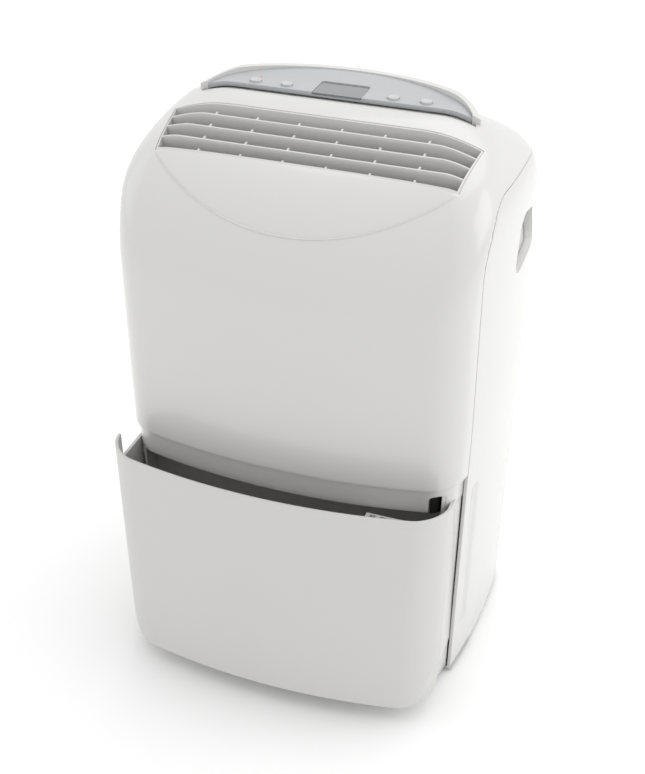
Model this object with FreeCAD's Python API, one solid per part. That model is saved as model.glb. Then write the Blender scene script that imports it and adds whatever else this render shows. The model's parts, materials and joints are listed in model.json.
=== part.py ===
import FreeCAD, Part
import math
import os

# A domestic compressor dehumidifier, in millimetres. +Z is up and the front faces -Y.
# The origin is on the ground, at the centre of the footprint with the water tank standing open.

V = FreeCAD.Vector

# Overall size
WIDTH = 354.0
DEPTH = 260.0
HEIGHT = 557.0
TANK_PULL = 45.0

# Plan outline: four shallow bows joined by corner arcs
FRONT_BOW_R = 640.0
FRONT_CORNER_R = 40.0
SIDE_BOW_R = 700.0
SIDE_BOW_SHIFT = 45.0
REAR_BOW_R = 900.0
REAR_CORNER_R = 55.0

# Side and front outlines
LEAN_R = 120.0
LEAN_ANGLE = 22.8
LEAN_CLEAR = 1.0
LEAN_TOP_GAP = 12.0
ROOF_BLEND_R = 60.0
ROOF_REAR_R = 100.0
SHOULDER_R = 74.0
WAIST_Z = 300.0
FOOT_TAPER = 5.0
WALL = 3.0
PART_GAP = 0.3

# Levels
FOOT_H = 3.0
TANK_TOP_Z = 250.0
LIP_H = 26.0
LIP_INSET = 5.0
LIP_END = 23.0
TANK_EDGE_GAP = 1.0
COVER_SKIRT = 43.0
SEAM_SETBACK = 52.5
SEAM_R = 60.0

# Raised housing behind the outlet that holds the control panel
HUMP_RISE = 9.0
HUMP_HALF = 133.0
HUMP_DEPTH = 64.0
HUMP_REAR_GAP = 48.0
HUMP_SKIRT = 34.0
HUMP_WALL = 3.0
RIM_W = 7.0
RIM_EDGE_R = 2.0
STRIP_DROP = 6.0
STRIP_DEPTH = 9.0
STRIP_HALF = 128.0
PANEL_T = 4.0
PANEL_SINK = 5.0

# Controls
BUTTON_R = 5.0
BUTTON_GAP = 0.4
BUTTON_TRAVEL = 1.5
BUTTON_PROUD = 2.0
BUTTON_INNER_X = 50.0
BUTTON_OUTER_X = 80.0
BUTTON_SETBACK = 9.0
WINDOW_HALF = 23.0
WINDOW_DEPTH = 28.0
WINDOW_T = 1.6
WINDOW_SINK = 2.0
LAMP_R = 1.5
BOARD_T = 1.6
BOARD_DEPTH = 36.0
BOARD_DROP = 24.0
SWITCH_H = 4.0
SWITCH_SIDE = 7.0
SWITCH_GAP = 0.2

# Outlet grille
GRILLE_HALF_FRONT = 137.0
GRILLE_HALF_BACK = 143.0
GRILLE_RUN = 57.0
BAND_W = 21.5
GRILLE_EDGE = 1.8
BLADE_COUNT = 3
BLADE_T = 1.8
BLADE_H = 14.0
BLADE_LEAN = 30.0
GRILLE_DROP = 70.0
RIB_BAYS = 7
RIB_T = 1.6
RIB_REACH = 6.0

# Tank
WING_DEPTH = 50.0
PANEL_WALL = 3.0
PANEL_LOW_Z = 20.0
PANEL_CORNER_R = 34.0
BOX_WALL = 2.2
BOX_DEPTH = 108.0
BOX_SIDE_GAP = 18.5
BOX_LIFT = 24.0
BOX_CORNER_R = 24.0
BOX_RIM_DROP = 3.0
FLANGE_T = 3.0
FLANGE_TOP_GAP = 20.0
CAGE_X = 106.0
CAGE_W = 42.0
CAGE_D = 30.0
CAGE_H = 56.0
CAGE_WALL = 2.0
CAGE_SLOTS = 4
CAGE_SLOT_W = 5.5
FLOAT_GAP = 1.0
FLOAT_H = 26.0
MAGNET_R = 4.0
MAGNET_H = 5.0

# Tank switch lever, and the notch in the lip that it shows through
NOTCH_X = 138.0
NOTCH_W = 14.0
NOTCH_H = 17.0
NOTCH_R = 5.0
LEVER_T = 3.0
LEVER_GAP = 0.6
LEVER_TOP = 8.0
LEVER_PIN_R = 2.0
LEVER_WAY = 2.5
PIN_FIT = 0.05
SENSOR_W = 12.0
SENSOR_H = 8.0

# Base and chassis
BASE_T = 3.0
BASE_GAP = 1.0
RAIL_X = 112.0
RAIL_W = 8.0
RAIL_GAP = 0.5
RUBBER_FOOT_R = 10.0
RUBBER_FOOT_GRIP = 4.0
RUBBER_FOOT_LIP = 1.0
FOOT_INSET_X = 44.0
FOOT_INSET_Y = 44.0
BULKHEAD_GAP = 6.0
CHASSIS_T = 3.0
DECK_GAP = 2.0
CHASSIS_SIDE_GAP = 16.0
PLINTH_INSET = 12.0
PLINTH_GAP = 1.5

# Air path
OPENING_HALF = 121.0
OPENING_LOW_GAP = 28.0
OPENING_H = 168.0
SLAT_H = 4.0
SLAT_PITCH = 10.0
SLAT_BAYS = 4
SLAT_POST = 5.0
FILTER_T = 7.0
FILTER_BORDER = 8.0
FILTER_BAR = 3.0
MESH_T = 1.2
COIL_HALF = 118.0
COIL_H = 190.0
CONDENSER_T = 24.0
EVAPORATOR_T = 30.0
COIL_GAP = 10.0
COIL_FRONT_GAP = 9.0
COIL_PLATE_T = 1.5
COIL_ROWS = 6
COIL_TUBE_R = 4.0
COIL_LINK_R = 4.4
FRAME_T = 2.5
FRAME_GAP = 1.0
TRAY_H = 14.0
TRAY_T = 2.0
SPOUT_R = 6.0
SPOUT_BORE_R = 4.0
SPOUT_L = 18.0
SHROUD_T = 2.0

# Fan
SCROLL_R = 88.0
SCROLL_W = 60.0
SCROLL_T = 2.5
SCROLL_FLARE = 128.0
SCROLL_LIFT = 8.0
MOUTH_GAP = 4.0
INLET_R = 62.0
WHEEL_R = 78.0
WHEEL_GAP = 6.0
WHEEL_BLADES = 30
WHEEL_BLADE_T = 1.4
WHEEL_BLADE_D = 13.0
WHEEL_BLADE_ANGLE = 30.0
WHEEL_PLATE_T = 2.0
HUB_R = 10.0
HUB_L = 22.0
SHAFT_R = 4.0
SHAFT_FIT = 0.05
SHAFT_GAP = 6.0
MOTOR_R = 38.0
MOTOR_GAP = 11.0
BOSS_R = 12.0
BRACKET_R = 52.0
BRACKET_T = 2.0

# Compressor bay
COMPRESSOR_R = 50.0
COMPRESSOR_X = 74.0
COMPRESSOR_H = 188.0
COMPRESSOR_EDGE_R = 14.0
MOUNT_H = 14.0
MOUNT_R = 9.0
MOUNT_WAIST_R = 7.0
MOUNT_PLATE_T = 3.0
MOUNT_REACH = 42.0
PIPE_R = 4.0
PIPE_BEND_R = 14.0
DISCHARGE_BEND_R = 8.4
ACCUMULATOR_R = 17.0
ACCUMULATOR_H = 118.0
ACCUMULATOR_GAP = 4.0
CAPACITOR_R = 18.0
CAPACITOR_H = 72.0
CAPACITOR_X = 64.0
CAPILLARY_TURNS = 4
CAPILLARY_STEPS = 12
CAPILLARY_R = 1.2
CAPILLARY_COIL_R = 13.0
CAPILLARY_PITCH = 5.0
CAPILLARY_LIFT = 60.0

# Services on the back
SPIGOT_R = 7.0
SPIGOT_BORE_R = 5.0
SPIGOT_COLLAR = 3.0
SPIGOT_X = 100.0
SPIGOT_LIFT = 7.5
SPIGOT_HOLE_R = 13.0
PLUG_FIT = 0.05
PLUG_L = 14.0
PLUG_HEAD_T = 2.0
PLUG_HEAD_R = 6.5
GLAND_X = 122.0
GLAND_Z = 42.0
GLAND_R = 9.0
GLAND_BORE_R = 4.2
GLAND_FLANGE_R = 13.0
GLAND_L = 12.0
GLAND_FLANGE_T = 2.0
SCREW_R = 1.6
SCREW_HEAD_R = 3.6
SCREW_HEAD_H = 1.4
SCREW_SINK = 1.6
SCREW_SLOT_W = 0.8
SCREW_L = 9.0
SCREW_X = 84.0
SCREW_Z = 22.0
SCREW_BOSS = 12.0

# Side handles
HANDLE_SETBACK = 77.0
HANDLE_DROP = 113.0
HANDLE_LONG = 44.0
HANDLE_TALL = 27.0
HANDLE_DEEP = 24.0
HANDLE_T = 2.5
HANDLE_FLANGE = 2.0

# Derived places
FULL_DEPTH = DEPTH + TANK_PULL
REAR_Y = FULL_DEPTH / 2
FRONT_Y = REAR_Y - DEPTH
HALF = WIDTH / 2
FAR = FULL_DEPTH + WIDTH + HEIGHT
BELOW = -20.0
PULL = V(0, -TANK_PULL, 0)
ROOF_Z = HEIGHT - HUMP_RISE
SEAM_Y = FRONT_Y + SEAM_SETBACK
SEAM_Z = ROOF_Z - COVER_SKIRT
LIP_Z = TANK_TOP_Z - LIP_H
HUMP_BACK_Y = REAR_Y - HUMP_REAR_GAP
HUMP_FRONT_Y = HUMP_BACK_Y - HUMP_DEPTH
GRILLE_BACK_Y = HUMP_FRONT_Y - BAND_W
GRILLE_FRONT_Y = GRILLE_BACK_Y - GRILLE_RUN
STRIP_Z = ROOF_Z - STRIP_DROP
PANEL_Y = HUMP_FRONT_Y + STRIP_DEPTH
PANEL_Z = HEIGHT - PANEL_SINK
BOARD_Z = HEIGHT - BOARD_DROP
BUTTON_Y = PANEL_Y + BUTTON_SETBACK
BUTTON_XS = [-BUTTON_OUTER_X, -BUTTON_INNER_X, BUTTON_INNER_X, BUTTON_OUTER_X]
BUTTON_NAMES = ["power_button", "mode_button", "humidity_button", "timer_button"]
BOX_HALF = HALF - BOX_SIDE_GAP
BOX_SKIN = PANEL_WALL + PART_GAP
BOX_BACK_Y = FRONT_Y + PANEL_WALL + BOX_DEPTH
BOX_TOP_Z = LIP_Z - BOX_RIM_DROP
FLANGE_TOP_Z = TANK_TOP_Z - FLANGE_TOP_GAP
BULKHEAD_Y = BOX_BACK_Y + BULKHEAD_GAP
BULKHEAD_BACK_Y = BULKHEAD_Y + CHASSIS_T
BASE_Z = FOOT_H + BASE_T
DECK_Z = TANK_TOP_Z + WALL + DECK_GAP
DECK_TOP_Z = DECK_Z + CHASSIS_T
SCROLL_BACK_Y = BULKHEAD_BACK_Y - PART_GAP
SCROLL_FRONT_Y = SCROLL_BACK_Y - SCROLL_W
FAN_Z = DECK_TOP_Z + SCROLL_LIFT + SCROLL_R
CONDENSER_Y = SCROLL_BACK_Y + COIL_FRONT_GAP
EVAPORATOR_Y = CONDENSER_Y + CONDENSER_T + COIL_GAP
COIL_BACK_Y = EVAPORATOR_Y + EVAPORATOR_T
TRAY_Z = DECK_TOP_Z + DECK_GAP
COIL_Z = TRAY_Z + TRAY_H + FRAME_T + FRAME_GAP
REAR_SAG = REAR_BOW_R - math.sqrt(REAR_BOW_R ** 2 - OPENING_HALF ** 2)
OPENING_LOW = DECK_TOP_Z + OPENING_LOW_GAP
OPENING_TOP = OPENING_LOW + OPENING_H
FILTER_BACK_Y = REAR_Y - REAR_SAG - WALL - FRAME_GAP
COMPRESSOR_Y = (BULKHEAD_BACK_Y + REAR_Y - WALL) / 2
MOUNT_TOP_Z = BASE_Z + MOUNT_H
SPIGOT_Z = TRAY_Z + SPIGOT_LIFT
MOTOR_Y = FRONT_Y + MOTOR_GAP
CAPILLARY_Z = BASE_Z + CAPILLARY_LIFT


def box(x0, y0, z0, x1, y1, z1):
    """A box between two opposite corners."""
    return Part.makeBox(x1 - x0, y1 - y0, z1 - z0, V(x0, y0, z0))


def cylinder(radius, start, end):
    """A cylinder from one centre to the other."""
    axis = end - start
    return Part.makeCylinder(radius, axis.Length, start, axis)


def tube(outer, bore, start, end):
    """A cylinder with a through bore."""
    return cylinder(outer, start, end).cut(cylinder(bore, start, end))


def join(first, *others):
    """One clean solid from pieces that touch or overlap."""
    return first.fuse(list(others)).removeSplitter()


def unit(vector):
    """The vector's direction."""
    return vector / vector.Length


def rounded_edges(corners, closed):
    """The lines and arcs of a path whose corners, (point, radius), are rounded."""
    count = len(corners)
    turns = []
    for index, (point, radius) in enumerate(corners):
        ends = not closed and index in (0, count - 1)
        if radius == 0 or ends:
            turns.append((point, None, point))
            continue
        back = unit(corners[index - 1][0] - point)
        ahead = unit(corners[(index + 1) % count][0] - point)
        half = back.getAngle(ahead) / 2
        reach = radius / math.tan(half)
        middle = unit(back + ahead) * (radius / math.sin(half) - radius)
        turns.append((point + back * reach, point + middle, point + ahead * reach))
    edges = []
    for index, (start, middle, end) in enumerate(turns):
        if middle is not None:
            edges.append(Part.Arc(start, middle, end).toShape())
        following = turns[(index + 1) % count][0]
        if index < count - 1 or closed:
            edges.append(Part.LineSegment(end, following).toShape())
    return edges


def outline(corners):
    """A closed wire with rounded corners."""
    return Part.Wire(rounded_edges(corners, True))


def pipe(points, bend_r, radius):
    """A round bar along straight runs joined by tangent bends."""
    path = Part.Wire(rounded_edges([(point, bend_r) for point in points], False))
    section = Part.Wire(Part.makeCircle(radius, points[0], points[1] - points[0]))
    return path.makePipeShell([section], True, True)


def corner_centre(bow_centre, bow_r, side_centre, side_r, corner_r, sign):
    """Centre of the corner arc that touches both bows from inside, on the side of the given sign in Y."""
    reach_a = bow_r - corner_r
    reach_b = side_r - corner_r
    line = side_centre - bow_centre
    span = line.Length
    along = (reach_a ** 2 - reach_b ** 2 + span ** 2) / (2 * span)
    across = math.sqrt(reach_a ** 2 - along ** 2)
    foot = bow_centre + unit(line) * along
    normal = V(-line.y, line.x, 0) / span
    options = [foot + normal * across, foot - normal * across]
    return max(options, key=lambda point: sign * point.y)


def plan_wire(inset):
    """The casing's outline from above, moved inwards by the inset."""
    front = V(0, FRONT_Y + FRONT_BOW_R, 0)
    rear = V(0, REAR_Y - REAR_BOW_R, 0)
    side = V(HALF - SIDE_BOW_R, (FRONT_Y + REAR_Y) / 2 + SIDE_BOW_SHIFT, 0)
    corner_f = corner_centre(front, FRONT_BOW_R, side, SIDE_BOW_R, FRONT_CORNER_R, -1)
    corner_r = corner_centre(rear, REAR_BOW_R, side, SIDE_BOW_R, REAR_CORNER_R, 1)

    def touch(centre, corner, radius):
        return centre + unit(corner - centre) * (radius - inset)

    def bulge(corner, radius, first, second):
        return corner + unit(unit(first - corner) + unit(second - corner)) * (radius - inset)

    front_end = touch(front, corner_f, FRONT_BOW_R)
    side_front = touch(side, corner_f, SIDE_BOW_R)
    side_rear = touch(side, corner_r, SIDE_BOW_R)
    rear_end = touch(rear, corner_r, REAR_BOW_R)
    half = [
        (V(0, FRONT_Y + inset, 0), None),
        (front_end, None),
        (side_front, bulge(corner_f, FRONT_CORNER_R, front_end, side_front)),
        (side_rear, side + V(SIDE_BOW_R - inset, 0, 0)),
        (rear_end, bulge(corner_r, REAR_CORNER_R, side_rear, rear_end)),
    ]

    def mirror(point):
        return V(-point.x, point.y, 0)

    edges = [Part.Arc(mirror(front_end), half[0][0], front_end).toShape()]
    for (start, _), (end, middle) in zip(half[1:-1], half[2:]):
        edges.append(Part.Arc(start, middle, end).toShape())
        edges.append(Part.Arc(mirror(start), mirror(middle), mirror(end)).toShape())
    edges.append(Part.Arc(rear_end, V(0, REAR_Y - inset, 0), mirror(rear_end)).toShape())
    return Part.Wire(Part.__sortEdges__(edges))


def side_wire():
    """The casing's outline from the right: upright front, leaning outlet, flat roof, rounded back."""
    lean_top = HUMP_FRONT_Y - LEAN_TOP_GAP
    lean_low = FRONT_Y - LEAN_CLEAR
    drop = (lean_top - lean_low) * math.tan(math.radians(LEAN_ANGLE))
    return outline([
        (V(0, lean_low, BELOW), 0),
        (V(0, lean_low, ROOF_Z - drop), LEAN_R),
        (V(0, lean_top, ROOF_Z), ROOF_BLEND_R),
        (V(0, REAR_Y + LEAN_CLEAR, ROOF_Z), ROOF_REAR_R),
        (V(0, REAR_Y + LEAN_CLEAR, BELOW), 0),
    ])


def front_wire():
    """The casing's outline from the front: tapered foot, full waist, round shoulders."""
    top = HALF + LEAN_CLEAR
    low = HALF - FOOT_TAPER
    return outline([
        (V(-low, 0, BELOW), 0),
        (V(low, 0, BELOW), 0),
        (V(top, 0, WAIST_Z), 0),
        (V(top, 0, ROOF_Z), SHOULDER_R),
        (V(-top, 0, ROOF_Z), SHOULDER_R),
        (V(-top, 0, WAIST_Z), 0),
    ])


def prism(wire, start, length):
    """A wire extruded along an axis, starting at an offset."""
    face = Part.Face(wire)
    face.translate(start)
    return face.extrude(length)


def inset_wire(wire, inset):
    """A closed wire moved inwards."""
    if inset == 0:
        return wire
    return wire.makeOffset2D(-inset, 2)


def casing_solid(inset):
    """The space inside the casing's surface moved inwards by the inset, open-ended below the ground."""
    plan = prism(plan_wire(inset), V(0, 0, BELOW + inset), V(0, 0, FAR))
    side = prism(inset_wire(side_wire(), inset), V(-FAR / 2, 0, 0), V(FAR, 0, 0))
    front = prism(inset_wire(front_wire(), inset), V(0, -FAR / 2, 0), V(0, FAR, 0))
    return plan.common(side).common(front)


def skin(outer, inner):
    """The casing's wall between two insets."""
    return casing_solid(outer).cut(casing_solid(inner))


def hump_wire(inset, front_y):
    """The control housing's outline: a straight front and one bowed back."""
    radius = (HUMP_HALF ** 2 + HUMP_DEPTH ** 2) / (2 * HUMP_DEPTH)
    centre_y = HUMP_BACK_Y - radius
    reach = radius - inset
    half = math.sqrt(reach ** 2 - (front_y - centre_y) ** 2)
    left = V(-half, front_y, 0)
    right = V(half, front_y, 0)
    bow = Part.Arc(right, V(0, centre_y + reach, 0), left).toShape()
    return Part.Wire([Part.LineSegment(left, right).toShape(), bow])


def hump_prism(inset, front_y, low, high):
    """A slab of the control housing's outline between two levels."""
    return prism(hump_wire(inset, front_y), V(0, 0, low), V(0, 0, high - low))


def seam_wire(gap, low):
    """The side view of all that lies behind the casing's parting line."""
    return outline([
        (V(0, SEAM_Y + gap, low), 0),
        (V(0, SEAM_Y + gap, SEAM_Z - gap), SEAM_R),
        (V(0, FAR / 2, SEAM_Z - gap), 0),
        (V(0, FAR / 2, low), 0),
    ])


def behind_seam(gap, low):
    """The space behind and below the casing's parting line."""
    return prism(seam_wire(gap, low), V(-FAR / 2, 0, 0), V(FAR, 0, 0))


def grille_wire(gap):
    """The outlet's outline from above, a little wider at the back."""
    slope = (GRILLE_HALF_BACK - GRILLE_HALF_FRONT) / GRILLE_RUN
    front = GRILLE_HALF_FRONT - gap + slope * gap
    back = GRILLE_HALF_BACK - gap - slope * gap
    return outline([
        (V(-front, GRILLE_FRONT_Y + gap, 0), 0),
        (V(front, GRILLE_FRONT_Y + gap, 0), 0),
        (V(back, GRILLE_BACK_Y - gap, 0), 0),
        (V(-back, GRILLE_BACK_Y - gap, 0), 0),
    ])


def grille_prism(gap):
    """An upright prism of the outlet's outline."""
    return prism(grille_wire(gap), V(0, 0, TANK_TOP_Z), V(0, 0, HEIGHT))


def notch():
    """The rounded notch in the lip for the switch lever, and its twin on the left."""
    low = LIP_Z - NOTCH_R
    high = LIP_Z + NOTCH_H
    corners = [
        (V(NOTCH_X, 0, low), 0),
        (V(NOTCH_X + NOTCH_W, 0, low), 0),
        (V(NOTCH_X + NOTCH_W, 0, high), NOTCH_R),
        (V(NOTCH_X, 0, high), NOTCH_R),
    ]
    right = prism(outline(corners), V(0, -FAR / 2, 0), V(0, FAR / 2, 0))
    return right.fuse(right.mirror(V(0, 0, 0), V(1, 0, 0)))


def front_cover():
    """The front and top shell, with the recessed lip that the tank closes over."""
    above = box(-FAR, -FAR, TANK_TOP_Z, FAR, FAR, FAR).cut(behind_seam(0, BELOW))
    shell = skin(0, WALL).common(above)
    ledge_zone = box(-FAR, -FAR, TANK_TOP_Z, FAR, SEAM_Y, TANK_TOP_Z + WALL)
    ledge = skin(0, LIP_INSET + WALL).common(ledge_zone)
    lip_half = HALF - LIP_END
    lip_zone = box(-lip_half, -FAR, LIP_Z, lip_half, SEAM_Y, TANK_TOP_Z + WALL)
    lip = skin(LIP_INSET, LIP_INSET + WALL).common(lip_zone).cut(notch())
    cover = join(shell, ledge, lip)
    cover = cover.cut(grille_prism(0))
    return cover.cut(hump_prism(-PART_GAP, HUMP_FRONT_Y - PART_GAP, SEAM_Z - WALL, FAR))


def outlet_grille():
    """Curved-top blades and short gussets in a thin frame, moulded as one."""
    body = skin(0, BLADE_H).common(grille_prism(PART_GAP))
    frame = body.cut(grille_prism(PART_GAP + GRILLE_EDGE))
    pitch = GRILLE_RUN / (BLADE_COUNT + 1)
    bay = (GRILLE_HALF_FRONT + GRILLE_HALF_BACK) / RIB_BAYS
    lean = math.tan(math.radians(BLADE_LEAN))
    pieces = [frame]
    for row in range(BLADE_COUNT + 1):
        foot = GRILLE_FRONT_Y + row * pitch
        top_z = ROOF_Z
        low_z = ROOF_Z - GRILLE_DROP
        shift = GRILLE_DROP * lean
        if row > 0:
            rise = (HUMP_FRONT_Y - LEAN_TOP_GAP - foot) * math.tan(math.radians(LEAN_ANGLE))
            start = foot - rise * lean
            blade = outline([
                (V(0, start, top_z), 0),
                (V(0, start + BLADE_T, top_z), 0),
                (V(0, start + BLADE_T + shift, low_z), 0),
                (V(0, start + shift, low_z), 0),
            ])
            slab = prism(blade, V(-HALF, 0, 0), V(WIDTH, 0, 0))
            pieces.append(slab.common(body))
        for rib in range(1, RIB_BAYS):
            x = (rib - RIB_BAYS / 2) * bay
            gusset = box(x - RIB_T / 2, foot, low_z, x + RIB_T / 2, foot + RIB_REACH, top_z)
            pieces.append(gusset.common(body))
    return join(pieces[0], *pieces[1:])


def handle_place():
    """Centre of the right handle recess on the casing's side."""
    return V(HALF, REAR_Y - HANDLE_SETBACK, ROOF_Z - HANDLE_DROP)


def handle_prism(grow, start_x, end_x):
    """An elliptical plug at the handle, between two places in X."""
    centre = handle_place()
    ellipse = Part.Ellipse(V(0, 0, 0), HANDLE_LONG + grow, HANDLE_TALL + grow).toShape()
    wire = Part.Wire(ellipse)
    wire.rotate(V(0, 0, 0), V(0, 0, 1), 90)
    wire.rotate(V(0, 0, 0), V(0, 1, 0), 90)
    wire.translate(V(start_x, centre.y, centre.z))
    return Part.Face(wire).extrude(V(end_x - start_x, 0, 0))


def handle_cup():
    """A finger cup set into the right side of the casing."""
    deep = HALF - HANDLE_DEEP
    inner = deep + HANDLE_T
    hollow = handle_prism(-PART_GAP - HANDLE_T, inner, FAR / 4)
    tub = handle_prism(-PART_GAP, deep, FAR / 4).cut(hollow)
    flange = handle_prism(HANDLE_FLANGE, deep, FAR / 4).cut(hollow)
    flange = flange.common(skin(WALL + PART_GAP, WALL + PART_GAP + HANDLE_T))
    return join(tub.common(casing_solid(0)), flange)


def rear_hole(x, z, radius):
    """A round cut through the back of the casing."""
    return cylinder(radius, V(x, REAR_Y / 2, z), V(x, FAR / 2, z))


def rear_casing():
    """The rear shell from the ground up to the parting line, with its openings."""
    region = behind_seam(PART_GAP, FOOT_H)
    shell = skin(0, WALL).common(region)
    half = OPENING_HALF
    intake = box(-half, COIL_BACK_Y, OPENING_LOW, half, FAR / 2, OPENING_TOP)
    right = handle_prism(0, HALF / 2, FAR / 4)
    left = right.mirror(V(0, 0, 0), V(1, 0, 0))
    shell = shell.cut([intake, right, left, rear_hole(-SPIGOT_X, SPIGOT_Z, SPIGOT_HOLE_R)])
    shell = shell.cut(rear_hole(GLAND_X, GLAND_Z, GLAND_R + SHAFT_FIT))
    for x in (-SCREW_X, 0, SCREW_X):
        shell = shell.cut(rear_hole(x, SCREW_Z, SCREW_R + PART_GAP))
        seat = screw_seat(x)
        shell = shell.cut(cylinder(SCREW_HEAD_R + PART_GAP, seat, seat + V(0, FAR, 0)))
    return shell


def top_housing():
    """The raised housing: a bowed rim, the low strip in front and the floor under the panel."""
    low = ROOF_Z - HUMP_SKIRT
    body = hump_prism(0, HUMP_FRONT_Y, low, HEIGHT)
    rim_edges = [edge for edge in body.Edges if edge.BoundBox.ZMin > HEIGHT - RIM_EDGE_R]
    bowed = [edge for edge in rim_edges if edge.Curve.TypeId == "Part::GeomCircle"]
    body = body.makeFillet(RIM_EDGE_R, bowed)
    floor_low = PANEL_Z - PANEL_T - PART_GAP - HUMP_WALL
    body = body.cut(hump_prism(RIM_W, PANEL_Y - PART_GAP, PANEL_Z - PANEL_T - PART_GAP, FAR))
    body = body.cut(box(-STRIP_HALF, -FAR, STRIP_Z, STRIP_HALF, PANEL_Y - PART_GAP, FAR))
    for side in (-1, 1):
        edge = side * STRIP_HALF
        body = body.cut(box(min(edge, side * FAR), -FAR, ROOF_Z, max(edge, side * FAR), PANEL_Y, FAR))
    body = body.cut(hump_prism(HUMP_WALL, PANEL_Y, low, floor_low))
    body = body.cut(hump_prism(HUMP_WALL, HUMP_FRONT_Y + HUMP_WALL, low, STRIP_Z - HUMP_WALL))
    half = WINDOW_HALF + PART_GAP
    body = body.cut(box(-half, PANEL_Y, low, half, PANEL_Y + WINDOW_DEPTH, FAR))
    for x in BUTTON_XS:
        body = body.cut(cylinder(BUTTON_R + BUTTON_GAP, V(x, BUTTON_Y, low), V(x, BUTTON_Y, FAR)))
    return body.cut(lamp_hole(low))


def lamp_hole(low):
    """The hole for the status lamp, from a level upwards."""
    x = -BUTTON_OUTER_X
    y = BUTTON_Y + 2 * BUTTON_R + LAMP_R
    return cylinder(LAMP_R + PART_GAP, V(x, y, low), V(x, y, FAR))


def control_panel():
    """The fascia that lies inside the rim, with the window recess and the button holes."""
    low = PANEL_Z - PANEL_T
    plate = hump_prism(RIM_W + PART_GAP, PANEL_Y, low, PANEL_Z)
    half = WINDOW_HALF
    back = PANEL_Y + WINDOW_DEPTH
    plate = plate.cut(box(-half, -FAR, PANEL_Z - WINDOW_SINK, half, back, FAR))
    edge = RIM_W / 2
    plate = plate.cut(box(-half + edge, PANEL_Y + edge, low, half - edge, back - edge, FAR))
    for x in BUTTON_XS:
        plate = plate.cut(cylinder(BUTTON_R + BUTTON_GAP, V(x, BUTTON_Y, low), V(x, BUTTON_Y, FAR)))
    return plate.cut(lamp_hole(low))


def display_window():
    """A thin smoked pane lying on the recess's ledge."""
    half = WINDOW_HALF - PART_GAP
    top = PANEL_Z - WINDOW_SINK + WINDOW_T
    low = PANEL_Z - WINDOW_SINK
    return box(-half, PANEL_Y + PART_GAP, low, half, PANEL_Y + WINDOW_DEPTH - PART_GAP, top)


def display_module():
    """The digit display under the window, standing on the board."""
    half = WINDOW_HALF - RIM_W / 2 - PART_GAP
    y0 = PANEL_Y + RIM_W / 2 + PART_GAP
    y1 = PANEL_Y + WINDOW_DEPTH - RIM_W / 2 - PART_GAP
    return box(-half, y0, BOARD_Z + BOARD_T, half, y1, PANEL_Z - WINDOW_SINK - PART_GAP)


def control_board():
    """The control board below the fascia, on four pegs that reach up to the housing's floor."""
    half = BUTTON_OUTER_X + 2 * SWITCH_SIDE
    top = BOARD_Z + BOARD_T
    board = box(-half, PANEL_Y + PART_GAP, BOARD_Z, half, PANEL_Y + BOARD_DEPTH, top)
    board = board.common(hump_prism(HUMP_WALL + BASE_GAP, HUMP_FRONT_Y, BOARD_Z, top))
    pegs = []
    floor_low = PANEL_Z - PANEL_T - PART_GAP - HUMP_WALL
    for x in (-BUTTON_INNER_X - 3 * BUTTON_R, BUTTON_INNER_X + 3 * BUTTON_R):
        for y in (PANEL_Y + 2 * BOARD_T, PANEL_Y + BOARD_DEPTH - 2 * BOARD_T):
            pegs.append(cylinder(2 * SCREW_R, V(x, y, BOARD_Z), V(x, y, floor_low)))
    return join(board, *pegs)


def push_switches():
    """The small switches under the buttons, each a body and its plunger."""
    shapes = []
    low = BOARD_Z + BOARD_T
    for x in BUTTON_XS:
        half = SWITCH_SIDE / 2
        body = box(x - half, BUTTON_Y - half, low, x + half, BUTTON_Y + half, low + SWITCH_H / 2)
        stem = cylinder(SWITCH_SIDE / 4, V(x, BUTTON_Y, low), V(x, BUTTON_Y, low + SWITCH_H))
        shapes.append(join(body, stem))
    return Part.makeCompound(shapes)


def panel_button(x):
    """A round button with a domed cap, standing over its switch."""
    foot_z = BOARD_Z + BOARD_T + SWITCH_H + BUTTON_TRAVEL + SWITCH_GAP
    top_z = PANEL_Z + BUTTON_PROUD
    cap = cylinder(BUTTON_R, V(x, BUTTON_Y, foot_z), V(x, BUTTON_Y, top_z))
    crown = [edge for edge in cap.Edges if edge.BoundBox.ZMin > top_z - SWITCH_GAP]
    return cap.makeFillet(BUTTON_PROUD / 2, crown)


def status_lamp():
    """The small lamp beside the buttons."""
    x = -BUTTON_OUTER_X
    y = BUTTON_Y + 2 * BUTTON_R + LAMP_R
    return cylinder(LAMP_R, V(x, y, BOARD_Z + BOARD_T), V(x, y, PANEL_Z + SWITCH_GAP))


def rounded_foot(half, low, high, radius, back_y):
    """A space whose two lower corners are round seen from the front, up to a place in Y."""
    corners = [
        (V(-half, 0, low), radius),
        (V(half, 0, low), radius),
        (V(half, 0, high), 0),
        (V(-half, 0, high), 0),
    ]
    return prism(outline(corners), V(0, back_y - FAR, 0), V(0, FAR, 0))


def wing_half():
    """Half the casing's width at the wings' back edges."""
    centre_y = (FRONT_Y + REAR_Y) / 2 + SIDE_BOW_SHIFT
    back = centre_y - FRONT_Y - WING_DEPTH
    return HALF - SIDE_BOW_R + math.sqrt(SIDE_BOW_R ** 2 - back ** 2)


def tank_front():
    """The tank's bowed front panel with its wrap-round wings."""
    high = TANK_TOP_Z - TANK_EDGE_GAP
    zone = rounded_foot(wing_half(), PANEL_LOW_Z, high, PANEL_CORNER_R, FRONT_Y + WING_DEPTH)
    panel = skin(0, PANEL_WALL).common(zone)
    return panel.translated(PULL)


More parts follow.
